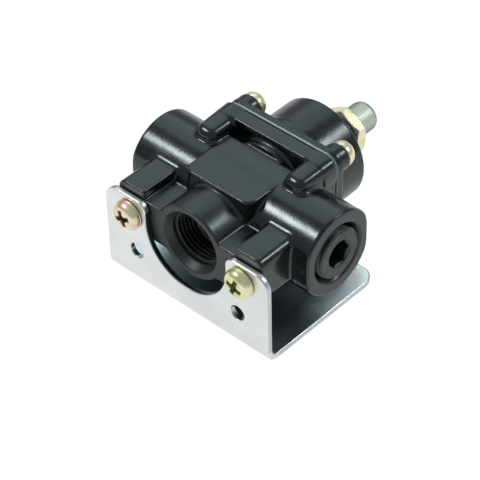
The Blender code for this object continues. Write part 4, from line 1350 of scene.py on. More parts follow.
@dataclass
class BoreThread:
    """The pipe thread cut into a port, as a sleeve whose inner side is threaded, in mm."""

    name: str
    axis: str
    start: float
    end: float
    root: float = 9.2
    depth: float = 1.25
    wall: float = 0.6
    fade: float = 1.6
    steps: int = 120
    steps_per_pitch: int = 10

    def dress(self, dresser: Dresser, finish: Material) -> None:
        """Adds the sleeve: its inner radius falls from root to crest and back once a pitch.

        Args:
            dresser: Puts it into Blender.
            finish: Its material.
        """
        count = int(abs(self.end - self.start) / PIPE_PITCH * self.steps_per_pitch) + 1
        along = np.linspace(self.start, self.end, count)[None, :]
        angle = np.linspace(0.0, math.tau, self.steps, endpoint=False)[:, None]
        ridge = np.clip(thread_wave(angle, along, PIPE_PITCH) * 1.25 - 0.1, 0.0, 1.0)
        faded = np.clip(np.abs(along - self.start) / self.fade, 0.0, 1.0)
        outer = np.full((self.steps, 2), self.root + self.wall)
        radii = np.concatenate([self.root - self.depth * ridge * faded, outer], axis=1)
        along = np.concatenate([along[0], [self.end, self.start]])
        skin = turned_skin(radii, along, self.axis, self.steps)
        dresser.piece(self.name, skin, finish, Body.REGULATOR, Slot.CASTING)


@dataclass
class SpringCover:
    """The spring cover: plate, four ears that flow into the dome, and a threaded boss, in mm."""

    front: float = 15.5
    plate_back: float = 17.7
    lip_front: float = 14.95
    lip: float = 1.3
    ear_end: float = 20.8
    ear_radius: float = 4.35
    ear_fillet: float = 3.2
    ear_edge: float = 0.7
    dome_end: float = 33.7
    dome_radius: float = 16.75
    dome_edge: float = 1.1
    boss_end: float = 41.3
    boss_radius: float = 6.9
    boss_fillet: float = 0.9
    hollow_radius: float = 14.0
    hollow_end: float = 31.1
    hollow_edge: float = 1.0
    bore_radius: float = 5.25
    vent_place: float = 25.55
    vent_radius: float = 0.8
    vent_rise: float = -7.7
    overlap: float = 2.0
    sunk: float = 0.5
    edge: float = 0.5

    def field(self, x: Array, y: Array, z: Array) -> Array:
        """Plate, ears, dome and boss joined with fillets, then hollowed and drilled.

        Args:
            x: Place along X.
            y: Place along Y.
            z: Place along Z.

        Returns:
            A field that is negative in the metal.
        """
        rise = z - AXIS_HEIGHT
        across, up = np.abs(x), np.abs(rise)
        axis, screw = ring(x, rise), about_screws(across, up)
        outline = rounded_rectangle(across, up, FLANGE_HALF, FLANGE_CORNER)
        plate = common(outline, slab(y, self.lip_front, self.plate_back), self.edge)
        plate = np.maximum(plate, -np.maximum(outline + self.lip, y - self.front))
        back = self.front + self.sunk
        dome = common(axis - self.dome_radius, slab(y, back, self.dome_end), self.dome_edge)
        ears = joined(screw - self.ear_radius, axis - self.dome_radius, self.ear_fillet)
        ears = common(ears, slab(y, back, self.ear_end), self.ear_edge)
        form = joined(plate, joined(ears, dome, self.edge), self.edge)
        boss = slab(y, self.dome_end - self.overlap, self.boss_end)
        form = joined(form, common(axis - self.boss_radius, boss, self.edge), self.boss_fillet)
        hollow = slab(y, self.front - self.overlap, self.hollow_end)
        hollow = common(axis - self.hollow_radius, hollow, self.hollow_edge)
        vent = np.maximum(ring(x, y - self.vent_place) - self.vent_radius, rise - self.vent_rise)
        for hole in (hollow, axis - self.bore_radius, screw - SCREW_HOLE, vent):
            form = np.maximum(form, -hole)
        return form

    def dress(self, dresser: Dresser, shelf: Shelf, step: float) -> None:
        """Adds the cover.

        Args:
            dresser: Puts it into Blender.
            shelf: The shared groups.
            step: Size of a grid cell, in mm.
        """
        maker = SkinMaker.about_axis(FLANGE_HALF, self.lip_front, self.boss_end, step)
        skin = maker.skin(self.field)
        x, y, z = skin.points.T
        outline = rounded_rectangle(x, z - AXIS_HEIGHT, FLANGE_HALF, FLANGE_CORNER)
        # A near-white painted highlight line along the plate's front outer edge.
        lip = np.clip(1.2 + (self.lip_front - y) / 0.35, 0.0, 1.0)
        marks = {
            "edge": edge_mark(self.field, skin.points, *CAST_EDGE_WEAR_AND_SHEEN),
            "painted_lip_highlight": lip * np.clip(1.6 + outline / 0.45, 0.0, 1.0),
        }
        finish = CastFinish(relief=0.000022, specular=0.66, roughness=0.215).build(shelf)
        dresser.piece("cover_casting", skin, finish, Body.REGULATOR, Slot.CASTING,
                      ("spring_cover",), marks)


@dataclass
class Bracket:
    """The bracket: one sheet bent to an angle, cut to its outline and punched, in mm."""

    front: float = -27.0
    sheet: float = 1.9
    half_width: float = 32.0
    height: float = 32.7
    left_rise: float = 0.6
    depth: float = 48.6
    bend: float = 4.2
    cutout: float = 15.8
    cutout_drop: float = 0.4
    tab_outer: float = 5.0
    tab_inner: float = 3.2
    plate_corner: float = 5.0
    spare_place: Pair = (20.2, 13.3)
    spare_hole: float = 2.6
    punched_edge: float = 0.3
    hole_edge: float = 0.2
    shade_place: Pair = (1.0, 8.0)
    shade_reach: Pair = (14.0, 11.0)

    def field(self, x: Array, y: Array, z: Array) -> Array:
        """The bent sheet, what its outlines leave of it, and its holes.

        Args:
            x: Place along X.
            y: Place along Y.
            z: Place along Z.

        Returns:
            A field that is negative in the metal.
        """
        into, across = y - self.front, np.abs(x)
        inner = common(self.sheet - into, self.sheet - z, self.bend - self.sheet)
        sheet = np.maximum(common(-into, -z, self.bend), -inner)
        top = self.height + np.where(x < 0.0, self.left_rise, 0.0)
        tabs = round_corner(across - self.half_width, z - top, self.tab_outer)
        notch = ring(across, np.minimum(z - AXIS_HEIGHT + self.cutout_drop, 0.0)) - self.cutout
        plate = round_corner(across - self.half_width, into - self.depth, self.plate_corner)
        outline = np.maximum(cut(tabs, notch, self.tab_inner), plate)
        spare = ring(across - self.spare_place[0], z - self.spare_place[1]) - self.spare_hole
        screw = ring(across - BRACKET_REACH, z - AXIS_HEIGHT) - BRACKET_HOLE
        holes = np.maximum(np.minimum(spare, screw), into - 2.0 * self.sheet)
        return cut(common(sheet, outline, self.punched_edge), holes, self.hole_edge)

    def dress(self, dresser: Dresser, material: Material, step: float) -> None:
        """Adds the bracket.

        Args:
            dresser: Puts it into Blender.
            material: Its finish.
            step: Size of a grid cell, in mm.
        """
        top = self.height + self.left_rise
        low = (-self.half_width, self.front, 0.0)
        high = (self.half_width, self.front + self.depth, top)
        skin = SkinMaker(low, high, step).skin(self.field)
        x, into, z = skin.points.T - np.array([[0.0], [self.front], [0.0]])
        faces = [np.abs(place) for place in (into, into - self.sheet, z, z - self.sheet)]
        off_face = np.clip(np.minimum.reduce(faces) / 0.25, 0.0, 1.0)
        edge = np.where((into < self.bend + 0.2) & (z < self.bend + 0.2), 0.0, off_face)
        # Painted reflection: a bluish tint on the base plate's upper face.
        painted_sky_reflection = np.clip((into - 3.0) / 4.0, 0.0, 1.0) * (z > self.sheet - 0.3)
        # The notch's cut edges get a painted dark reflection of the casting.
        notch = (np.abs(x) < self.cutout + 1.5) & (z < self.height - 2.5) & (z > 6.0)
        u, v = [
            (place - middle) / reach
            for place, middle, reach in zip((x, into), self.shade_place, self.shade_reach)
        ]
        marks = {
            "edge": edge,
            "painted_notch_reflection": edge * notch,
            "painted_sky_reflection": painted_sky_reflection,
            # Painted shade on the base plate under the inlet boss.
            "painted_shade_under_boss": painted_sky_reflection * np.exp(-(u**4 + v**4)),
        }
        dresser.piece("bracket_sheet", skin, material, Body.REGULATOR, Slot.CLEAR_ZINC,
                      ("mounting_bracket",), marks)


@dataclass
class PanScrew:
    """A pan-head screw with a cross recess, its head facing out along Y, in mm.

    A part of the recess is given as a share of the head's radius and how much it shrinks in
    each millimetre of depth.
    """

    head_radius: float
    head_height: float
    shank_radius: float
    shank_length: float
    recess_turn: float
    pitch: float = 0.794
    thread_depth: float = 0.32
    crown: float = 2.1
    wing_length: Pair = (0.60, 0.45)
    wing_half: Pair = (0.155, 0.06)
    pit: Pair = (0.30, 0.25)
    recess_depth: float = 0.62
    recess_fillet: float = 0.3
    recess_edge: float = 0.12
    rim_edge: float = 0.45
    under_edge: float = 0.25
    tip_edge: float = 0.3
    neck_fillet: float = 0.15

    def recess(self, u: Array, t: Array, v: Array) -> Array:
        """The cross recess: four wings that shorten and narrow as they sink, round a pit.

        Args:
            u: First coordinate across the axis.
            t: Place along the axis, counted outwards from under the head.
            v: Second coordinate across the axis.

        Returns:
            A field that is negative in the recess.
        """
        turn = math.radians(self.recess_turn)
        a = u * math.cos(turn) + v * math.sin(turn)
        b = v * math.cos(turn) - u * math.sin(turn)
        sunk = self.head_height - t
        length, half, pit = [
            self.head_radius * share - fall * np.maximum(sunk, 0.0)
            for share, fall in (self.wing_length, self.wing_half, self.pit)
        ]
        wings = [
            np.maximum(np.abs(one) - length, np.abs(two) - half) for one, two in ((a, b), (b, a))
        ]
        cross = joined(joined(*wings, self.recess_fillet), ring(a, b) - pit, self.recess_fillet)
        return np.maximum(cross, sunk - self.head_height * self.recess_depth)

    def field(self, u: Array, t: Array, v: Array) -> Array:
        """The screw about its own axis: a crowned head on a threaded shank.

        Args:
            u: First coordinate across the axis.
            t: Place along the axis, counted outwards from under the head.
            v: Second coordinate across the axis.

        Returns:
            A field that is negative in the metal.
        """
        across = ring(u, v)
        crown = self.head_radius * self.crown
        crowned = ring(across, t - (self.head_height - crown)) - crown
        head = common(across - self.head_radius, crowned, self.head_height * self.rim_edge)
        head = cut(common(head, -t, self.under_edge), self.recess(u, t, v), self.recess_edge)
        ridge = self.thread_depth * thread_wave(np.arctan2(v, u), t, self.pitch)
        shank = across - (self.shank_radius - self.thread_depth + ridge)
        shank = common(shank, slab(t, -self.shank_length, 0.5), self.tip_edge)
        return joined(head, shank, self.neck_fillet)

    def skin(self, step: float) -> tuple[Skin, dict[str, Array]]:
        """The screw about its own axis.

        Args:
            step: Size of a grid cell, in mm.

        Returns:
            Its skin, and the marks that its finish reads.
        """
        r = self.head_radius
        maker = SkinMaker((-r, -self.shank_length, -r), (r, self.head_height, r), step)
        skin = maker.skin(self.field)
        u, t, v = skin.points.T
        depth = np.clip((self.head_height * 0.93 - t) / 0.4, 0.0, 1.0)
        inside = np.clip(1.0 - self.recess(u, t, v) / 0.12, 0.0, 1.0)
        edge = edge_mark(self.field, skin.points, 0.3, 2.0)
        return skin, {"edge": edge, "recess": inside * depth}


@dataclass
class Screws:
    """Both kinds of screw in their places, in mm, and how far each is turned, in degrees."""

    bracket_screw: PanScrew
    cover_screw: PanScrew
    bracket_face: float = -27.2
    bracket_turns: Pair = (0.0, 38.0)
    ear_face: float = 20.9
    cover_turn: float = 31.0

    def dress(self, dresser: Dresser, material: Material, step: float) -> None:
        """Adds the two bracket screws and the four cover screws.

        Args:
            dresser: Puts them into Blender.
            material: Their finish.
            step: Size of a grid cell, in mm.
        """
        sides, heights = (("left", -1.0), ("right", 1.0)), (("upper", 1.0), ("lower", -1.0))
        skin, marks = self.bracket_screw.skin(step)
        mirrored = Skin(skin.points * np.array([1.0, -1.0, 1.0]), skin.faces[:, ::-1])
        for (side, x_sign), turn in zip(sides, self.bracket_turns):
            place = (x_sign * BRACKET_REACH, self.bracket_face, AXIS_HEIGHT)
            dresser.piece(f"bracket_pan_screw_{side}", mirrored.spun(turn).moved(place), material,
                          Body.REGULATOR, Slot.YELLOW_ZINC, (f"bracket_screw_{side}",), marks)
        skin, marks = self.cover_screw.skin(step)
        corners = [(height, side) for height in heights for side in sides]
        for number, ((height, z_sign), (side, x_sign)) in enumerate(corners):
            rise = z_sign * SCREW_REACH[1]
            place = (x_sign * SCREW_REACH[0], self.ear_face, AXIS_HEIGHT + rise)
            placed = skin.spun(self.cover_turn * number).moved(place)
            dresser.piece(f"cover_pan_screw_{height}_{side}", placed, material, Body.REGULATOR,
                          Slot.YELLOW_ZINC, (f"cover_screw_{height}_{side}",), marks)


@dataclass
class Plug:
    """The taper plug in the right outlet, with its hexagon socket, in mm."""

    face: float = 35.5
    length: float = 10.4
    radius: float = 8.55
    taper: float = 1.0 / 32.0
    thread_depth: float = 0.9
    chamfer: float = 0.85
    chamfer_slope: float = 1.1
    socket_half: float = 3.97
    socket_depth: float = 6.4
    mouth: float = 0.35
    corner_ratio: float = 1.13
    end_edge: float = 0.15
    socket_edge: float = 0.12
    mouth_edge: float = 0.08

    def field(self, x: Array, y: Array, z: Array) -> Array:
        """A tapered threaded bar with a chamfered face and a socket.

        Args:
            x: Place along X.
            y: Place along Y.
            z: Place along Z.

        Returns:
            A field that is negative in the metal.
        """
        rise = z - AXIS_HEIGHT
        across, sunk = ring(y, rise), self.face - x
        ridge = self.thread_depth * thread_wave(np.arctan2(rise, y), x, PIPE_PITCH)
        bar = across + self.taper * sunk - (self.radius - self.thread_depth + ridge)
        bar = np.maximum(bar, across - (self.radius - self.taper * sunk))
        bar = np.maximum(bar, across - (self.radius - self.chamfer + self.chamfer_slope * sunk))
        bar = common(bar, slab(x, self.face - self.length, self.face), self.end_edge)
        socket = key_socket(y, rise, sunk, self.socket_half, self.socket_depth)
        mouth = across - (self.socket_half * self.corner_ratio + self.mouth - sunk)
        return cut(cut(bar, socket, self.socket_edge), mouth, self.mouth_edge)

    def dress(self, dresser: Dresser, material: Material, step: float) -> None:
        """Adds the plug.

        Args:
            dresser: Puts it into Blender.
            material: Its finish.
            step: Size of a grid cell, in mm.
        """
        r = self.radius
        low, high = (self.face - self.length, -r, AXIS_HEIGHT - r), (self.face, r, AXIS_HEIGHT + r)
        skin = SkinMaker(low, high, step).skin(self.field)
        dresser.piece("socket_plug", skin, material, Body.REGULATOR, Slot.STEEL, ("outlet_plug",),
                      {"edge": edge_mark(self.field, skin.points, 0.2, 2.0)})


@dataclass
class AdjusterSet:
    """The adjusting screw and the jam nut that locks it, in mm."""

    screw_start: float = 28.6
    screw_end: float = 54.7
    screw_radius: float = 4.95
    screw_edge: float = 2.5
    pitch: float = 1.058
    thread_depth: float = 0.06
    tip_radius: float = 1.2
    tip_slope: float = 2.9
    tip_edge: float = 0.3
    socket_half: float = 2.38
    socket_depth: float = 4.0
    socket_edge: float = 0.15
    nut_front: float = 41.5
    nut_back: float = 45.4
    nut_half: float = 7.145
    nut_corner: float = 1.16
    nut_edge: float = 0.12
    nut_bore: float = 0.28
    bore_edge: float = 0.08
    chamfer: float = 0.15
    chamfer_slope: float = 1.73
    countersink: float = 0.5
    worn_share: float = 0.12

    def screw_field(self, x: Array, y: Array, z: Array) -> Array:
        """A thread filled nearly smooth by its plating, with a rounded end and a key socket.

        Args:
            x: Place along X.
            y: Place along Y.
            z: Place along Z.

        Returns:
            A field that is negative in the metal.
        """
        rise = z - AXIS_HEIGHT
        across = ring(x, rise)
        ridge = self.thread_depth * thread_wave(np.arctan2(x, rise), y, self.pitch)
        bar = across - (self.screw_radius - self.thread_depth + ridge)
        bar = common(bar, y - self.screw_end, self.screw_edge)
        tip = self.tip_radius + self.tip_slope * np.maximum(y - self.screw_start, 0.0)
        bar = np.maximum(common(bar, across - tip, self.tip_edge), self.screw_start - y)
        socket = key_socket(x, rise, self.screw_end - y, self.socket_half, self.socket_depth)
        return cut(bar, socket, self.socket_edge)

    def nut_field(self, x: Array, y: Array, z: Array) -> Array:
        """A hexagon whose corners are turned off at both faces, with a threaded bore.

        Args:
            x: Place along X.
            y: Place along Y.
            z: Place along Z.

        Returns:
            A field that is negative in the metal.
        """
        rise = z - AXIS_HEIGHT
        across = ring(x, rise)
        inward = np.minimum(y - self.nut_front, self.nut_back - y)
        turned = (across - (self.nut_half - self.chamfer + self.chamfer_slope * inward)) * 0.5
        form = common(hexagonal(x, rise, self.nut_half, 0.0), turned, self.nut_edge)
        sink = self.countersink * np.maximum(self.countersink - inward, 0.0)
        bore = across - (self.screw_radius + self.nut_bore + sink)
        return cut(common(form, -inward, self.nut_edge), bore, self.bore_edge)

    def dress(self, dresser: Dresser, grey: Material, yellow: Material, step: float) -> None:
        """Adds the screw and the nut.

        Args:
            dresser: Puts them into Blender.
            grey: The screw's finish.
            yellow: The nut's finish.
            step: Size of a grid cell, in mm.
        """
        half = (self.screw_radius, self.screw_radius)
        maker = SkinMaker.about_axis(half, self.screw_start, self.screw_end, step)
        dresser.piece("pressure_screw", maker.skin(self.screw_field), grey, Body.ADJUSTER,
                      Slot.GREY_ZINC, ("adjusting_screw",))
        half = (self.nut_half * self.nut_corner, self.nut_half * self.nut_corner)
        maker = SkinMaker.about_axis(half, self.nut_front, self.nut_back, step)
        skin = maker.skin(self.nut_field)
        pale = self.worn_share + edge_mark(self.nut_field, skin.points, 0.25, 2.0)
        dresser.piece("lock_nut", skin, yellow, Body.NUT, Slot.YELLOW_ZINC, ("jam_nut",),
                      {"edge": np.maximum(pale, self.worn_share)})


@dataclass
class InletCage:
    """The pierced cage at the bottom of the inlet, in mm."""

    front: float = -15.2
    back: float = -12.6
    radius: float = 5.9
    plate: float = 0.6
    wall: float = 0.6
    hole_ring: float = 3.9
    hole_radius: float = 1.35
    rim_edge: float = 0.3
    hole_edge: float = 0.1

    def field(self, x: Array, y: Array, z: Array) -> Array:
        """A dished disc with four holes round its middle.

        Args:
            x: Place along X.
            y: Place along Y.
            z: Place along Z.

        Returns:
            A field that is negative in the metal.
        """
        rise = z - AXIS_HEIGHT
        across = ring(x, rise)
        cup = common(across - self.radius, slab(y, self.front, self.back), self.rim_edge)
        hollow = np.maximum(across - (self.radius - self.wall), self.front + self.plate - y)
        turned_x, turned_z = np.abs(x + rise) / math.sqrt(2.0), np.abs(rise - x) / math.sqrt(2.0)
        along, aside = np.maximum(turned_x, turned_z), np.minimum(turned_x, turned_z)
        holes = ring(along - self.hole_ring, aside) - self.hole_radius
        return cut(np.maximum(cup, -hollow), holes, self.hole_edge)

    def dress(self, dresser: Dresser, material: Material, step: float) -> None:
        """Adds the cage.

        Args:
            dresser: Puts it into Blender.
            material: Its finish.
            step: Size of a grid cell, in mm.
        """
        maker = SkinMaker.about_axis((self.radius, self.radius), self.front, self.back, step)
        dresser.piece("pierced_cage", maker.skin(self.field), material, Body.REGULATOR,
                      Slot.BRASS, ("valve_cage",))


@dataclass
class CoilSpring:
    """A compression spring along Y with closed ends, in the box of the node that it stands for.

    Attributes:
        node: The CAD node.
        wire: The wire's diameter, in mm.
        turns: How many turns it has in all.
        steps: Rings of points in one turn.
        sides: Points in one ring.
        closed: The climb of an end turn, in wires.
    """

    node: str
    wire: float
    turns: float
    steps: int = 40
    sides: int = 12
    closed: float = 1.06

    def __post_init__(self) -> None:
        """Takes the spring's ends and radius from the node's box."""
        low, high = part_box(self.node)
        self.front, self.back = low[1] / MM, high[1] / MM
        self.outer = 0.5 * (high[0] - low[0]) / MM

    def skin(self, first: float, last: float) -> Skin:
        """The wire from one turn to another.

        The wire's middle climbs about one wire in each end turn and evenly between them. A ring
        of points round it is carried along, and each end is closed by a ladder of faces.

        Args:
            first: The turn that it starts at.
            last: The turn that it ends at.

        Returns:
            Its skin.
        """
        pitch = self.wire * self.closed
        free = self.back - self.front - self.wire - 2.0 * pitch
        turn = np.linspace(first, last, int((last - first) * self.steps) + 1)[:, None]
        climb = pitch * (np.minimum(turn, 1.0) + np.maximum(turn - self.turns + 1.0, 0.0))
        climb = climb + free * np.clip((turn - 1.0) / (self.turns - 2.0), 0.0, 1.0)
        around = np.linspace(0.0, math.tau, self.sides, endpoint=False)[None, :]
        reach = self.outer - 0.5 * self.wire * (1.0 - np.cos(around))
        along = self.front + 0.5 * self.wire * (1.0 + np.sin(around)) + climb
        angle = turn * math.tau
        place = (reach * np.cos(angle), along, AXIS_HEIGHT + reach * np.sin(angle))
        points = np.stack([part.ravel() for part in place], axis=1)
        wall = grid_faces(len(turn), self.sides, closed=False)[:, [0, 3, 2, 1]]
        rung = np.arange(self.sides // 2 - 1)
        cap = np.stack([rung, self.sides - 1 - rung, self.sides - 2 - rung, rung + 1], axis=1)
        end = cap[:, ::-1] + (len(turn) - 1) * self.sides
        return Skin(points, np.concatenate([wall, cap, end]))


@dataclass
class Springs:
    """The pressure spring, in two pieces that meet in its still middle, and the valve spring."""

    pressure_wire: float = 1.3
    pressure_turns: float = 4.5
    still_turn: float = 1.6
    valve_wire: float = 0.45
    valve_turns: float = 3.0

    def dress(self, dresser: Dresser, material: Material) -> None:
        """Adds them: the pressure spring in two pieces that part at its still turn, and the valve
        spring.

        Args:
            dresser: Puts them into Blender.
            material: Their finish.
        """
        node = "pressure_spring"
        spring = CoilSpring(node, self.pressure_wire, self.pressure_turns)
        front, back = spring.skin(0.0, self.still_turn), spring.skin(self.still_turn, spring.turns)
        still = back.points[: spring.sides, 1]
        dresser.coil("pressure_coil_front", front, material, Body.STACK,
                     (still.min(), spring.front + spring.wire), node)
        dresser.coil("pressure_coil_back", back, material, Body.BUTTON,
                     (still.max(), spring.back - spring.wire), node)
        node = "valve_spring"
        spring = CoilSpring(node, self.valve_wire, self.valve_turns, steps=28, sides=8)
        dresser.coil("valve_coil", spring.skin(0.0, spring.turns), material, Body.VALVE,
                     (spring.front + spring.wire, spring.back - spring.wire), node)


@dataclass
class DiaphragmSheet:
    """The diaphragm: its clamped rim with the roll, and the middle between the plates, in mm."""

    front: float = 14.5
    back: float = 15.3
    half: Pair = (20.1, 16.6)
    corner: float = 3.2
    edge: float = 0.15
    rivet_hole: float = 2.2
    middle_radius: float = 10.55
    middle_steps: int = 72
    roll_inner: float = 10.6
    roll_outer: float = 13.7
    roll_height: float = 1.1

    def field(self, x: Array, y: Array, z: Array) -> Array:
        """The sheet, lifted by half a sine between its plates and its clamped rim.

        Args:
            x: Place along X.
            y: Place along Y.
            z: Place along Z.

        Returns:
            A field that is negative in the rubber.
        """
        rise = z - AXIS_HEIGHT
        axis = ring(x, rise)
        share = np.clip((axis - self.roll_inner) / (self.roll_outer - self.roll_inner), 0.0, 1.0)
        lift = self.roll_height * np.sin(math.pi * share)
        outline = rounded_rectangle(x, rise, self.half, self.corner)
        form = common(outline, slab(y - lift, self.front, self.back), self.edge)
        screws = about_screws(np.abs(x), np.abs(rise)) - SCREW_HOLE
        return np.maximum(form, -np.minimum(screws, axis - self.middle_radius))

    def dress(self, dresser: Dresser, material: Material, step: float) -> None:
        """Adds the rim and roll, and the middle that moves with its plates.

        Args:
            dresser: Puts them into Blender.
            material: Their finish.
            step: Size of a grid cell, in mm.
        """
        maker = SkinMaker.about_axis(self.half, self.front, self.back + self.roll_height, step)
        dresser.piece("diaphragm_sheet", maker.skin(self.field), material, Body.REGULATOR,
                      Slot.RUBBER, ("diaphragm",))
        radii = np.array([self.rivet_hole, self.middle_radius, self.middle_radius, self.rivet_hole])
        along = np.array([self.front, self.front, self.back, self.back])
        middle = turned_skin(radii, along, "Y", self.middle_steps)
        dresser.piece("diaphragm_middle", middle, material, Body.STACK, Slot.RUBBER, ("diaphragm",))


@dataclass
class InnerParts:
    """The pieces inside, which keep their frame meshes and get finishes of their own."""

    nodes: dict[str, bpy.types.Object]

    def dress(self, finishes: dict[Material, tuple[str, ...]]) -> None:
        """Gives each named node its material.

        Args:
            finishes: The names of the nodes that take each material.
        """
        for material, names in finishes.items():
            for name in names:
                slots = self.nodes[name].data.materials
                slots.clear()
                slots.append(material)
                LOG.info("%s: %s", name, material.name)


# Studio


@dataclass(frozen=True)
class Softbox:
    """An area lamp that faces the object.

    Attributes:
        name: Its name.
        direction: Where it hangs, seen from the object.
        distance: How far off, in metres.
        size: Its width and height, in metres.
        radiance: How bright its face is.
        colour: Its colour.
    """

    name: str
    direction: Triple
    distance: float
    size: Pair
    radiance: float
    colour: Triple = (1.0, 1.0, 1.0)

    def hang(self, aim: Vector) -> None:
        """Adds the lamp.

        Args:
            aim: The point that it faces, in metres.
        """
        data = bpy.data.lights.new(self.name, "AREA")
        data.shape = "RECTANGLE"
        data.size, data.size_y = self.size
        data.energy = self.radiance * math.pi * self.size[0] * self.size[1]
        data.color = self.colour
        lamp = bpy.data.objects.new(self.name, data)
        bpy.context.scene.collection.objects.link(lamp)
        way = Vector(self.direction).normalized()
        lamp.location = aim + way * self.distance
        lamp.rotation_euler = way.to_track_quat("Z", "Y").to_euler()


@dataclass
class Studio:
    """Floor, lights and camera. Angles are in degrees, and the aim in mm."""

    camera_azimuth: float = 43.503
    camera_elevation: float = 42.04
    camera_roll: float = -1.453
    focal_pixels: float = 2198.8
    frame_pixels: float = 480.0
    aim: Triple = (0.0, 0.0, 24.0)
    aim_pixel: Pair = (248.1, 207.88)
    aim_depth: float = 648.3
    sensor: float = 36.0
    world_level: float = 0.33
    sky_tint: Triple = (0.86, 0.96, 1.0)
    floor_reach: float = 3.0
    floor_drop: float = 0.0002
    floor_level: float = 0.42
    floor_glow: float = 0.60
    floor_rough: float = 0.9
    camera_glow: float = 1.1
    camera_share: float = 0.84

    def build(self) -> None:
        """Builds everything that isn't part of the object."""
        self._floor()
        self._world()
        cool = (0.94, 0.98, 1.0)
        for box in (
            Softbox("left_front_softbox", (-0.50, -0.42, 0.76), 0.9, (0.26, 0.145), 19.0),
            Softbox("right_rear_softbox", (0.50, 0.58, 0.65), 0.9, (0.26, 0.14), 14.0, cool),
            Softbox("overhead_softbox", (-0.45, 0.5, 0.74), 1.1, (0.9, 0.9), 0.81, self.sky_tint),
        ):
            box.hang(Vector(self.aim) * MM)
        self._camera()

    def _camera(self) -> None:
        """The camera at the photograph's angle: it looks along its axis with the aim off centre."""
        azimuth, elevation, roll = np.radians(
            [self.camera_azimuth, self.camera_elevation, self.camera_roll]
        )
        level = np.array([math.cos(azimuth), math.sin(azimuth), 0.0])
        ahead = np.array([-math.sin(azimuth), math.cos(azimuth), 0.0])
        forward = ahead * math.cos(elevation) - np.array([0.0, 0.0, math.sin(elevation)])
        upright = np.cross(level, forward)
        right = level * math.cos(roll) + upright * math.sin(roll)
        up = -level * math.sin(roll) + upright * math.cos(roll)
        scale = self.aim_depth / self.focal_pixels
        aside = (self.aim_pixel[0] - self.frame_pixels / 2) * scale
        above = -(self.aim_pixel[1] - self.frame_pixels / 2) * scale
        place = np.array(self.aim) - self.aim_depth * forward - aside * right - above * up
        data = bpy.data.cameras.new("photo_camera")
        data.sensor_width = self.sensor
        data.lens = self.focal_pixels / self.frame_pixels * self.sensor
        data.clip_start, data.clip_end = 0.05, 20.0
        camera = bpy.data.objects.new("photo_camera", data)
        bpy.context.scene.collection.objects.link(camera)
        turn = Matrix((right, up, -forward)).transposed().to_4x4()
        camera.matrix_world = Matrix.Translation(Vector(place * MM)) @ turn
        bpy.context.scene.camera = camera

    def _floor(self) -> None:
        """A wide pale floor that stays white to the camera apart from a soft shadow."""
        mesh = bpy.data.meshes.new("floor")
        reach, low = self.floor_reach, -self.floor_drop
        square = ((-reach, -reach), (reach, -reach), (reach, reach), (-reach, reach))
        mesh.from_pydata([(x, y, low) for x, y in square], [], [(0, 1, 2, 3)])
        material = bpy.data.materials.new("pale_floor")
        material.use_nodes = True
        graph = Graph(material.node_tree)
        shader = graph.tree.nodes["Principled BSDF"]
        for label, value in {
            "Base Color": (self.floor_level,) * 3,
            "Roughness": self.floor_rough,
            "Specular IOR Level": 0.0,
            "Emission Color": (1.0, 1.0, 1.0),
            "Emission Strength": self.floor_glow,
        }.items():
            graph.feed(shader.inputs[label], value)
        glow = graph.node("Emission", {"Strength": self.camera_glow})
        self._show(graph, shader, glow, self.camera_share, "Material Output")
        mesh.materials.append(material)
        floor = bpy.data.objects.new("floor", mesh)
        bpy.context.scene.collection.objects.link(floor)

    def _world(self) -> None:
        """An even pale world that is white behind the object."""
        world = bpy.data.worlds.new("studio")
        world.use_nodes = True
        graph = Graph(world.node_tree)
        shade = graph.tree.nodes["Background"]
        graph.feed(shade.inputs["Color"], self.sky_tint)
        graph.feed(shade.inputs["Strength"], self.world_level)
        self._show(graph, shade, graph.node("Background"), 1.0, "World Output")
        bpy.context.scene.world = world

    @staticmethod
    def _show(graph: Graph, lit: Node, seen: Node, share: float, output: str) -> None:
        """Lights the object by one shader and shows the camera another.

        Args:
            graph: The nodes.
            lit: The shader that lights the object.
            seen: The shader that the camera sees.
            share: How much of it the camera sees.
            output: The name of the output node.
        """
        camera_ray = graph.node("LightPath").outputs["Is Camera Ray"]
        factor = graph.math("MULTIPLY", camera_ray, share)
        mix = graph.node("MixShader", {0: factor, 1: lit.outputs[0], 2: seen.outputs[0]})
        graph.feed(graph.tree.nodes[output].inputs["Surface"], mix.outputs[0])


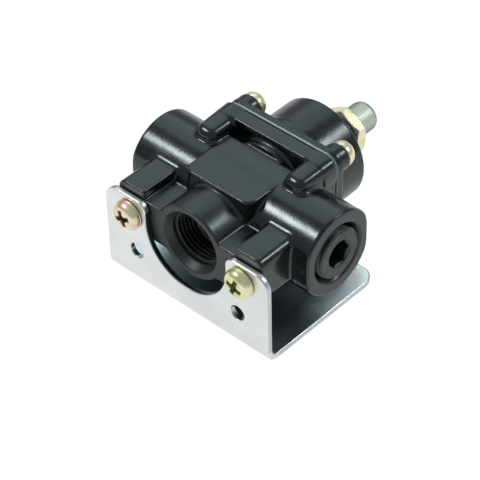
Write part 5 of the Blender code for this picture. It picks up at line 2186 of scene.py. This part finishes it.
def main() -> None:
    """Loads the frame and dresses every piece."""
    logging.basicConfig(level=logging.INFO, format="%(name)s: %(message)s")
    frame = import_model()
    bpy.context.scene.view_settings.view_transform = "Standard"
    shelf = Shelf()
    dresser = Dresser()
    clear = ZincFinish().build(shelf)
    yellow = ChromateFinish().build(shelf)
    grey, dark, steel, cage, brass, rubber, fibre, bored_metal = [
        finish.build(shelf)
        for finish in (
            # The grey screw's last colour is a painted dark reflection at grazing angles.
            BarFinish("grey_zinc_plate", (0.72, 0.78, 0.65), (0.82, 0.86, 0.75), (0.46, 0.58), 0.8,
                      (0.22, 0.25, 0.18)),
            BarFinish("dark_steel", (0.058, 0.063, 0.064), (0.092, 0.098, 0.098), (0.34, 0.48)),
            BarFinish("spring_steel", (0.30, 0.30, 0.30), (0.40, 0.39, 0.38), (0.28, 0.4)),
            # Very dark brass for the pierced cage.
            BarFinish("dark_brass", (0.11, 0.085, 0.05), (0.07, 0.058, 0.038), (0.34, 0.46)),
            BarFinish("turned_brass", (0.70, 0.52, 0.26), (0.62, 0.45, 0.22), (0.26, 0.38)),
            BarFinish("fuel_rubber", (0.012, 0.012, 0.013), (0.02, 0.02, 0.02), (0.6, 0.75), 0.0),
            BarFinish("sealing_fibre", (0.40, 0.19, 0.13), (0.48, 0.25, 0.17), (0.6, 0.8), 0.0),
            BarFinish("bored_casting", (0.016, 0.016, 0.016), (0.028, 0.028, 0.027), (0.3, 0.42),
                      0.6),
        )
    ]

    body_step, cover_step, bracket_step, small_step = (
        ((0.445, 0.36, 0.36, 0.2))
    )
    diaphragm_step = 0.4
    Casting().dress(dresser, shelf, body_step)
    SpringCover().dress(dresser, shelf, cover_step)
    Bracket().dress(dresser, clear, bracket_step)
    BoreThread("inlet_thread", "Y", -22.6, -15.4).dress(dresser, bored_metal)
    BoreThread("left_outlet_thread", "X", -33.1, -20.6).dress(dresser, bored_metal)
    bracket_screw = PanScrew(4.95, 3.6, 2.4, 11.8, recess_turn=20.0)
    cover_screw = PanScrew(4.1, 3.95, 2.05, 15.5, recess_turn=35.0)
    Screws(bracket_screw, cover_screw).dress(dresser, yellow, small_step)
    Plug().dress(dresser, dark, small_step)
    AdjusterSet().dress(dresser, grey, yellow, small_step)
    InletCage().dress(dresser, cage, small_step)
    DiaphragmSheet().dress(dresser, rubber, diaphragm_step)
    Springs().dress(dresser, steel)
    InnerParts(frame["nodes"]).dress({
        clear: ("diaphragm_plate_front", "diaphragm_plate_back", "spring_button"),
        steel: ("diaphragm_rivet",),
        brass: ("valve_seat", "inlet_valve"),
        rubber: ("valve_facing",),
        fibre: ("seat_washer",),
    })
    Studio().build()
    LOG.info("new pieces hold %d triangles", dresser.triangles)


if __name__ == "__main__":
    main()
